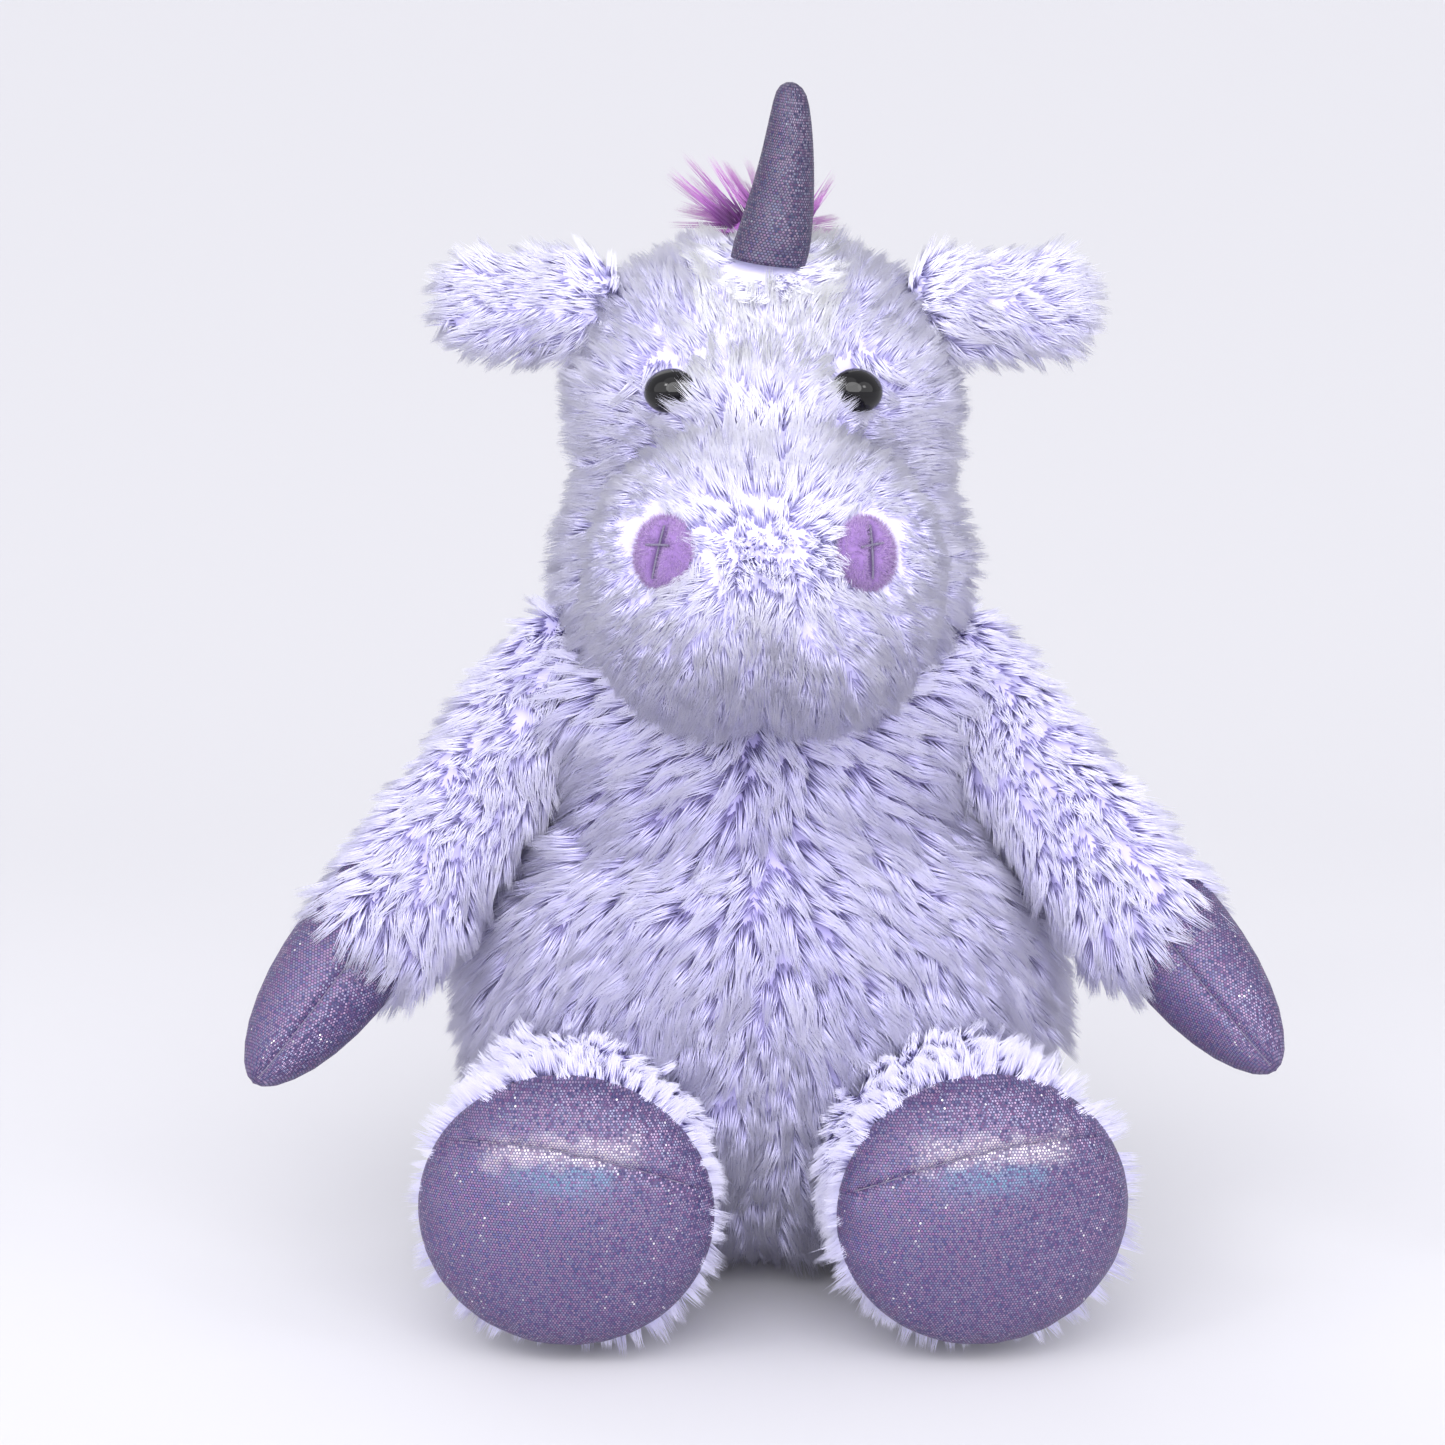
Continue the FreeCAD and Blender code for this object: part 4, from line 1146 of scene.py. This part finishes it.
class UNICORN_OT_soles(bpy.types.Operator):
    """Makes the shiny sole and the hoof cap of both legs, with their seam"""

    bl_idname = "unicorn.soles"
    bl_label = "Soles and Hoof Caps"

    def execute(self, context):
        wide, high, crown = 32.5, 30.5, 14
        angles = np.linspace(0, np.pi / 2, 40)
        rim = [(math.sin(a) * wide, crown * math.cos(a) ** 0.9 if a < np.pi / 2 - 1e-6 else 0.0)
               for a in angles]
        rolled = [(wide - 0.6, -2.0), (wide - 2.4, -3.6)]
        radii = np.array([r for r, _ in rim])
        run = np.concatenate(([0], np.cumsum(np.hypot(np.diff(radii), np.diff([h for _, h in rim])))))
        for name, side in SIDES:
            way = leg_way(name)
            hip = Vector((LEGS[name][0], -36, 35))
            place = Matrix.Translation(mm(*along(hip, way, 45))) @ stand(way)
            slope, rise = -side * math.radians(9), 16.5

            def seam_height(x):
                """Height of the seam above the sole's middle: it arches and climbs outwards."""
                return rise - (x / 30) ** 2 * 5.0 - x * math.tan(slope)

            for piece, upper in (("sole", False), ("hoof_cap", True)):
                bm = turned(rim + rolled, steps=120)
                wide_edges = [edge for edge in bm.edges if edge.calc_length() > 2.2 * MM]
                bmesh.ops.subdivide_edges(bm, edges=wide_edges, cuts=1, use_grid_fill=True)
                self.split(bm, seam_height, upper, high / wide)
                self.shape(bm, seam_height, high / wide, name)
                lay_knit(bm, lambda co: self.spread(co, radii, run))
                bmesh.ops.solidify(bm, geom=bm.faces, thickness=1.2 * MM)
                bmesh.ops.transform(bm, matrix=place, verts=bm.verts)
                for vert in bm.verts:
                    vert.co.z = max(vert.co.z, 0.6 * MM)
                obj = finish_mesh(f"leg_{name}_{piece}", bm, FINISHES["sole_knit"])
                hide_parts(f"leg_{piece}_{name}")
                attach(obj, "leg_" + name)
            line = []
            for x in np.linspace(-wide * 0.93, wide * 0.93, 60):
                y = seam_height(x)
                r = math.hypot(x, y * wide / high)
                if r > wide - 0.3:
                    continue
                h = float(np.interp(r, radii, [h for _, h in rim]))
                line.append(place @ mm(x, y, h - 0.95))
            seam_line(f"leg_{name}_seam_thread", line, 0.16, "leg_" + name)
        return {"FINISHED"}

    @staticmethod
    def split(bm, seam_height, upper, squeeze):
        """Cuts the round sole along its curved seam: bent straight for the cut, then bent back."""
        for vert in bm.verts:
            vert.co.y = vert.co.y * squeeze - seam_height(vert.co.x / MM) * MM
        cut_to(bm, [(Vector((0, 0, 0)), Vector((0, 1 if upper else -1, 0)))])
        for vert in bm.verts:
            vert.co.y += seam_height(vert.co.x / MM) * MM

    @staticmethod
    def shape(bm, seam_height, squeeze, name):
        """Draws the cloth in at the seam, and lets it pucker beside it and at the rim."""
        for vert in bm.verts:
            x, y, z = vert.co / MM
            if z < -0.5:
                continue
            off = y - seam_height(x)
            r = math.hypot(x, y / squeeze)
            pucker = math.sin(x * 1.9 + math.sin(x * 0.7) * 1.6)
            dip = -0.9 * math.exp(-(off / 0.9) ** 2) - 0.3 * pucker * math.exp(-((abs(off) - 2.0) / 2.0) ** 2)
            angle = math.atan2(y, x)
            edge = 0.45 * math.sin(angle * 23 + 2 * math.sin(angle * 5)) * math.exp(-((r - 31) / 3.2) ** 2)
            swell = 0.7 * math.sin(x * 0.11 + (1 if name == "left" else 2.6)) * math.cos(y * 0.13)
            vert.co.z = (z + (dip + edge + swell * max(0, 1 - r / 34)) * min(1, max(0, (34 - r) / 4))) * MM

    @staticmethod
    def spread(co, radii, run):
        x, y = co.x / MM, co.y / MM
        r = math.hypot(x, y)
        if r < 1e-6:
            return (0, 0)
        reach = float(np.interp(r, radii, run)) + max(0, -co.z / MM)
        return (x / r * reach * MM, y / r * reach * MM)


class UNICORN_OT_arm_hooves(bpy.types.Operator):
    """Makes the two shiny halves of both arm hooves, with their seam"""

    bl_idname = "unicorn.arm_hooves"
    bl_label = "Arm Hooves"

    def execute(self, context):
        profile = [(0, 56.5), (2.2, 55.8), (4.6, 53.6), (7.0, 50.0), (9.2, 45.4), (11.0, 39.8), (12.4, 33.4),
                   (13.2, 26.6), (13.5, 19.4), (13.4, 12), (13.0, 5), (12.2, 0)]
        radii = [r for r, _ in profile]
        heights = [h for _, h in profile]
        for name, side in SIDES:
            way = arm_way(name)
            shoulder = Vector((math.copysign(50, ARMS[name][0]), 3, 134))
            forward = Vector((0, -1, 0))
            place = Matrix.Translation(mm(*along(shoulder, way, 58))) @ stand(way, forward)
            for half, sign in (("inner", -side), ("outer", side)):
                across = sign * self.outwards(place)
                bm = turned(profile, steps=72)
                bmesh.ops.subdivide_edges(bm, edges=bm.edges, cuts=1, use_grid_fill=True)
                cut_to(bm, [(Vector((0, 0, 0)), Vector((across, 0, 0)))])
                for vert in bm.verts:
                    x, y, z = vert.co / MM
                    reach = math.hypot(x, y)
                    near = math.exp(-(x / 1.1) ** 2) * min(1, reach / 3)
                    pucker = 0.18 * math.sin(z * 2.1 + math.sin(z * 0.9))
                    pucker *= math.exp(-((abs(x) - 1.8) / 1.6) ** 2)
                    share = (reach - 0.9 * near + pucker) / reach if reach > 0.5 else 1
                    vert.co.x, vert.co.y = vert.co.x * share, vert.co.y * share * (0.86 if y < 0 else 0.92)
                lay_knit(bm, lambda co: (math.atan2(co.x, co.y) * 10.5 * MM, co.z))
                mend_wrap(bm)
                bmesh.ops.solidify(bm, geom=bm.faces, thickness=1.1 * MM)
                bmesh.ops.transform(bm, matrix=place, verts=bm.verts)
                obj = finish_mesh(f"arm_{name}_hoof_{half}", bm, FINISHES["shiny_knit"])
                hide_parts(f"arm_hoof_{name}_{half}")
                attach(obj, "arm_" + name)
            line = []
            for h in np.linspace(4, 56.3, 40):
                r = float(np.interp(-h, [-v for v in heights], radii))
                line.append(place @ mm(0, r * 0.92 - 0.85, h))
            seam_line(f"arm_{name}_hoof_thread", line, 0.16, "arm_" + name)
        return {"FINISHED"}

    @staticmethod
    def outwards(place):
        """Sign of the hoof's own X that points to the viewer's right."""
        return 1 if (place.to_3x3() @ Vector((1, 0, 0))).x > 0 else -1


class UNICORN_OT_horn(bpy.types.Operator):
    """Makes the padded horn and its filling"""

    bl_idname = "unicorn.horn"
    bl_label = "Horn"

    def execute(self, context):
        lean = math.radians(8)
        place = Matrix.Translation(mm(2, -12, 239)) @ Matrix.Rotation(lean, 4, "Y")
        profile = [(0, 35.7), (1.3, 35.45), (2.6, 34.6), (3.5, 33.2), (4.15, 31), (4.8, 27.5), (5.5, 23),
                   (6.2, 18), (6.9, 13), (7.6, 8), (8.2, 3), (8.6, -1), (8.5, -4.6)]
        for piece, inset, bottom in (("horn_knit_cover", 0, False), ("horn_filling", 1.25, True)):
            bm = turned([(max(0, r - inset), h - inset * 0.8 * (h > 20)) for r, h in profile]
                        + ([(0, -4.6)] if bottom else []), steps=64)
            bmesh.ops.subdivide_edges(bm, edges=[e for e in bm.edges if e.calc_length() > 1.6 * MM], cuts=2,
                                      use_grid_fill=True)
            if not bottom:
                lay_knit(bm, lambda co: (math.atan2(co.x, -co.y) * 6.6 * MM, co.z))
                mend_wrap(bm)
            for vert in bm.verts:
                x, y, z = vert.co / MM
                bow = -1.6 * ((z - 14) / 22) ** 2 + 1.0
                dent = 0.35 * math.sin(z * 0.55 + math.atan2(y, x) * 2) * min(1, math.hypot(x, y) / 3)
                vert.co.x += (bow - 0.2 * (x > 0)) * MM
                vert.co.y += dent * 0.6 * MM
            if not bottom:
                bmesh.ops.solidify(bm, geom=bm.faces, thickness=0.9 * MM)
            bmesh.ops.transform(bm, matrix=place, verts=bm.verts)
            if bottom:
                obj = finish_mesh(piece, bm, FINISHES["fibre_filling"])
                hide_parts("horn_stuffing")
            else:
                obj = finish_mesh(piece, bm, FINISHES["horn_knit"])
                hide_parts("horn_cover")
            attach(obj, "horn")
        return {"FINISHED"}


# ---------------------------------------------------------------- face

def face_turn(side, turn, rise):
    """Rotation whose Z points out of the face."""
    return (Matrix.Rotation(math.radians(side * turn), 4, "Z")
            @ Matrix.Rotation(math.radians(90 - rise), 4, "X"))


class UNICORN_OT_eyes(bpy.types.Operator):
    """Makes the glossy safety eyes, and finishes their washers"""

    bl_idname = "unicorn.eyes"
    bl_label = "Eyes"

    def execute(self, context):
        for name, side in SIDES:
            place = Matrix.Translation(self.surface(name, side)) @ face_turn(side, *EYE_TURN)
            bm = turned([(0, 3.5), (1.2, 3.4), (2.5, 3.05), (3.8, 2.4), (4.9, 1.5), (5.6, 0.5), (5.95, -0.5),
                         (5.9, -1.2), (5.4, -1.6), (1.7, -1.7), (1.7, -12.5), (0, -12.8)], steps=48)
            sharp = [e for e in bm.edges if len(e.link_faces) == 2 and e.calc_face_angle() > 0.9]
            bmesh.ops.bevel(bm, geom=sharp, offset=0.15 * MM, affect="EDGES", segments=2, profile=0.5,
                            material=-1)
            tilt = Matrix.Rotation(math.radians(-14 * side), 4, "Z")
            oval = tilt @ Matrix.Diagonal((1, 0.82, 1, 1))
            bmesh.ops.transform(bm, matrix=place @ oval, verts=bm.verts)
            obj = finish_mesh(f"safety_eye_{name}", bm, FINISHES["eye_plastic"])
            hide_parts("eye_" + name)
            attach(obj, "head")
            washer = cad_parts["eye_washer_" + name]
            wear_node(washer, FINISHES["washer_plastic"])
        return {"FINISHED"}

    @staticmethod
    def surface(name, side):
        """Where the button sits: its CAD box holds the stalk too, so the washer gives the line."""
        out = face_turn(side, *EYE_TURN).to_3x3() @ Vector((0, 0, 1))
        return middle("eye_washer_" + name) + out * 8.8 * MM


def wear_node(obj, material):
    if not obj.material_slots:
        obj.data.materials.append(material)
    for place in obj.material_slots:
        place.material = material


class UNICORN_OT_nostrils(bpy.types.Operator):
    """Makes the short-pile nostrils, each drawn in by its stitch"""

    bl_idname = "unicorn.nostrils"
    bl_label = "Nostrils"

    def execute(self, context):
        for name, side in SIDES:
            turn = face_turn(side, 33, 14)
            out = turn.to_3x3() @ Vector((0, 0, 1))
            ground, _, _, _ = TREES["head"].ray_cast(middle("nostril_" + name) + out * 10 * MM, -out)
            place = Matrix.Translation(ground + out * 1.6 * MM) @ turn
            bm = turned([(0, 2.6), (1.5, 2.55), (3, 2.35), (4.4, 1.95), (5.6, 1.3), (6.4, 0.4), (6.7, -0.6),
                         (6.2, -1.7), (4.5, -2.1), (0, -2.2)], steps=56)
            bmesh.ops.subdivide_edges(bm, edges=bm.edges, cuts=1, use_grid_fill=True)
            for vert in bm.verts:
                x, y, z = vert.co / MM
                if z > -0.8:
                    bend = 0.7 * math.sin(y * 0.32)
                    crease = 2.4 * math.exp(-((x - bend) / 1.0) ** 2) * math.exp(-(y / 5.6) ** 4)
                    cross = 1.4 * math.exp(-((y - 1.4) / 0.8) ** 2) * math.exp(-(x / 3.2) ** 4)
                    vert.co.z -= max(crease, cross) * MM
                vert.co.x, vert.co.y = vert.co.x * 1.02, vert.co.y * 1.17
            bmesh.ops.transform(bm, matrix=place, verts=bm.verts)
            mesh = bpy.data.meshes.new("nostril")
            bm.to_mesh(mesh)
            bm.free()
            centre = np.array(place.translation)

            def shade(p, n):
                """High along the crease, where the pile is shorter and its colour gets painted shade."""
                x, y, z = ((p - centre) @ np.array(place.to_3x3())).T / MM
                bend = 0.7 * np.sin(y * 0.32)
                return 0.12 + 0.75 * np.exp(-((x - bend) / 1.2) ** 2) * np.exp(-(y / 6) ** 4)

            coat = Coat(mesh, lambda p, n: 1.5 * MM * (1.05 - shade(p, n)),
                        from_point(place.translation / MM - out * 5), even(math.radians(25)), shade,
                        spacing=0.62 * MM, seed=50 + side)
            coat.panel(f"nostril_{name}_pile", "nostril_" + name, "head", "nostril_plush",
                       [(place.translation - out * 1.5 * MM, out)], FINISHES["nostril_plush"], fibres=6,
                       width=0.2 * MM, reach=0.5 * MM)
            for part, ends in (("upright", ((-0.6, -5.8, 1.5), (0.1, 0, 2.1), (0.6, 5.8, 1.4))),
                               ("cross", ((-2.9, 1.2, 2.3), (0, 1.5, 2.2), (2.9, 1.6, 2.2)))):
                seam = seam_line(f"nostril_{name}_stitch_{part}", [place @ mm(*end) for end in ends],
                                 0.24, "head")
                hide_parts("nostril_stitch_" + name)
        return {"FINISHED"}


class UNICORN_OT_mane(bpy.types.Operator):
    """Makes the forelock, the mane and the tail"""

    bl_idname = "unicorn.mane"
    bl_label = "Forelock, Mane and Tail"

    def execute(self, context):
        long = settings().pile.mane

        def parted(p, n):
            return np.stack((np.where(p[:, 0] < 2 * MM, -1.0, 1.0), 0.3 + 0 * p[:, 0], 0 * p[:, 0]), 1)

        def crest(p, n):
            return long * (0.85 + 0.35 * ease(-p[:, 0] / MM, 0, 6)) * (n[:, 2] > 0.6)

        def lift(p, n):
            return np.radians(5 + 16 * ease(p[:, 0] / MM, 2, 0))

        def down(p, n):
            return unit(np.stack((p[:, 0] * 18, 0.4 + 0 * p[:, 0], -1 + 0 * p[:, 0]), 1))

        self.tuft("forelock", "head", [ball((1.5, 6, 238), (10.5, 3.5, 5))], parted, crest, lift,
                  limits(z=(239, None)), 61)
        self.tuft("mane", "head", [ball((0, 22, 232), (6, 10, 8)), ball((0, 34, 215), (6, 8, 13)),
                                   ball((0, 37, 195), (6, 7, 13)), ball((0, 34, 178), (6, 7, 9))], down,
                  even(long), even(math.radians(56)), limits(), 62)
        self.tuft("tail", "tail", [ball((0, 68, 42), (4, 4, 7)), ball((0, 70, 32), (4.5, 4, 9))], down,
                  even(long * 0.9), even(math.radians(66)), limits(), 63)
        return {"FINISHED"}

    @staticmethod
    def tuft(node, body, balls, flow, lengths, lean, planes, seed):
        """One tuft of mane fur on a small form of its own."""
        form = skin(node, balls, voxel=1.1, smooth=4)
        coat = Coat(form, lengths, flow, lean, even(0.25), spacing=2.0 * MM, seed=seed)
        coat.panel(node + "_tuft", node, body, "mane_fur", planes, FINISHES["mane_fur"], fibres=22,
                   width=0.34 * MM, reach=1.4 * MM)


class UNICORN_OT_inside(bpy.types.Operator):
    """Finishes the pellet pouch inside the seat"""

    bl_idname = "unicorn.inside"
    bl_label = "Pellet Pouch"

    def execute(self, context):
        wear_node(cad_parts["pellet_pouch"], FINISHES["pouch_cloth"])
        return {"FINISHED"}


# ---------------------------------------------------------------- stage

class UNICORN_OT_stage(bpy.types.Operator):
    """Sets the floor, the lights and the camera"""

    bl_idname = "unicorn.stage"
    bl_label = "Stage"

    def execute(self, context):
        scene = bpy.context.scene
        bm = bmesh.new()
        bmesh.ops.create_grid(bm, x_segments=8, y_segments=8, size=9)
        floor = Finish("studio_floor", rough=0.75)
        tone = tuple(settings().colours.floor)
        # Painted light: the floor keeps its colour in a pale pool round the toy and is painted darker further
        # out.
        spot = floor.node("ShaderNodeVectorMath", {0: floor.place()}, operation="LENGTH").outputs["Value"]
        far = floor.fade(floor.value(spot), 0.12, 0.5)
        floor.shade(Base_Color=floor.mix(far, tone, between(tone, BLACK, 0.12)), Specular_IOR_Level=0.0)
        finish_mesh("studio_floor", bm, floor.material)

        world = bpy.data.worlds.new("studio")
        world.use_nodes = True
        back = world.node_tree.nodes["Background"]
        back.inputs["Color"].default_value = (*tint(246, 247, 252), 1)
        back.inputs["Strength"].default_value = 0.8
        scene.world = world
        self.sun("top_light", (34, -14, 0), 0.35, 50)
        self.sun("front_light", (68, 4, 0), 3.3, 60)
        self.sun("left_light", (72, 0, -52), 0.85, 60)
        self.sun("right_light", (72, 0, 52), 0.85, 60)
        self.sun("back_light", (-52, -20, 0), 0.6, 50)
        self.panel("key_window", (-0.9, -1.2, 1.3), 0.3, 3.0)
        self.panel("fill_window", (1.1, -1.0, 0.9), 0.3, 1.8)

        target = mm(-9, 0, 126.6)
        data = bpy.data.cameras.new("camera")
        data.lens, data.sensor_width = 130, 36
        camera = bpy.data.objects.new("camera", data)
        bpy.context.collection.objects.link(camera)
        rise = math.radians(12)
        camera.location = target + 1.2 * Vector((0, -math.cos(rise), math.sin(rise)))
        camera.rotation_mode = "QUATERNION"
        camera.rotation_quaternion = (target - camera.location).to_track_quat("-Z", "Y")
        scene.camera = camera
        scene.view_settings.view_transform = "Standard"
        return {"FINISHED"}

    @staticmethod
    def sun(name, angles, strength, spread):
        data = bpy.data.lights.new(name, "SUN")
        data.energy, data.angle = strength, math.radians(spread)
        lamp = bpy.data.objects.new(name, data)
        bpy.context.collection.objects.link(lamp)
        lamp.rotation_euler = [math.radians(a) for a in angles]

    @staticmethod
    def panel(name, spot, size, power):
        data = bpy.data.lights.new(name, "AREA")
        data.shape, data.size, data.energy = "SQUARE", size, power
        lamp = bpy.data.objects.new(name, data)
        bpy.context.collection.objects.link(lamp)
        lamp.location = spot
        lamp.rotation_mode = "QUATERNION"
        lamp.rotation_quaternion = (mm(0, 0, 130) - lamp.location).to_track_quat("-Z", "Y")


STEPS = (UNICORN_OT_prepare, UNICORN_OT_body, UNICORN_OT_head, UNICORN_OT_ears, UNICORN_OT_eyes,
         UNICORN_OT_nostrils, UNICORN_OT_horn, UNICORN_OT_mane, UNICORN_OT_arms, UNICORN_OT_arm_hooves,
         UNICORN_OT_legs, UNICORN_OT_soles, UNICORN_OT_inside, UNICORN_OT_stage)


class UNICORN_PT_panel(bpy.types.Panel):
    """Lists the pieces of the plush unicorn"""

    bl_idname = "UNICORN_PT_panel"
    bl_label = "Plush Unicorn"
    bl_space_type = "VIEW_3D"
    bl_region_type = "UI"
    bl_category = "Unicorn"

    def draw(self, context):
        chosen = context.scene.plush_unicorn
        for step in STEPS:
            self.layout.operator(step.bl_idname)
        for group in (chosen.pile, chosen.colours):
            for name in group.__annotations__:
                self.layout.prop(group, name)


CLASSES = (UnicornPile, UnicornColours, UnicornSettings, *STEPS, UNICORN_PT_panel)


def register():
    for cls in CLASSES:
        bpy.utils.register_class(cls)
    bpy.types.Scene.plush_unicorn = PointerProperty(type=UnicornSettings)


def unregister():
    del bpy.types.Scene.plush_unicorn
    for cls in reversed(CLASSES):
        bpy.utils.unregister_class(cls)


def main():
    register()
    for step in STEPS:
        group, name = step.bl_idname.split(".")
        getattr(getattr(bpy.ops, group), name)()


if __name__ == "__main__":
    main()
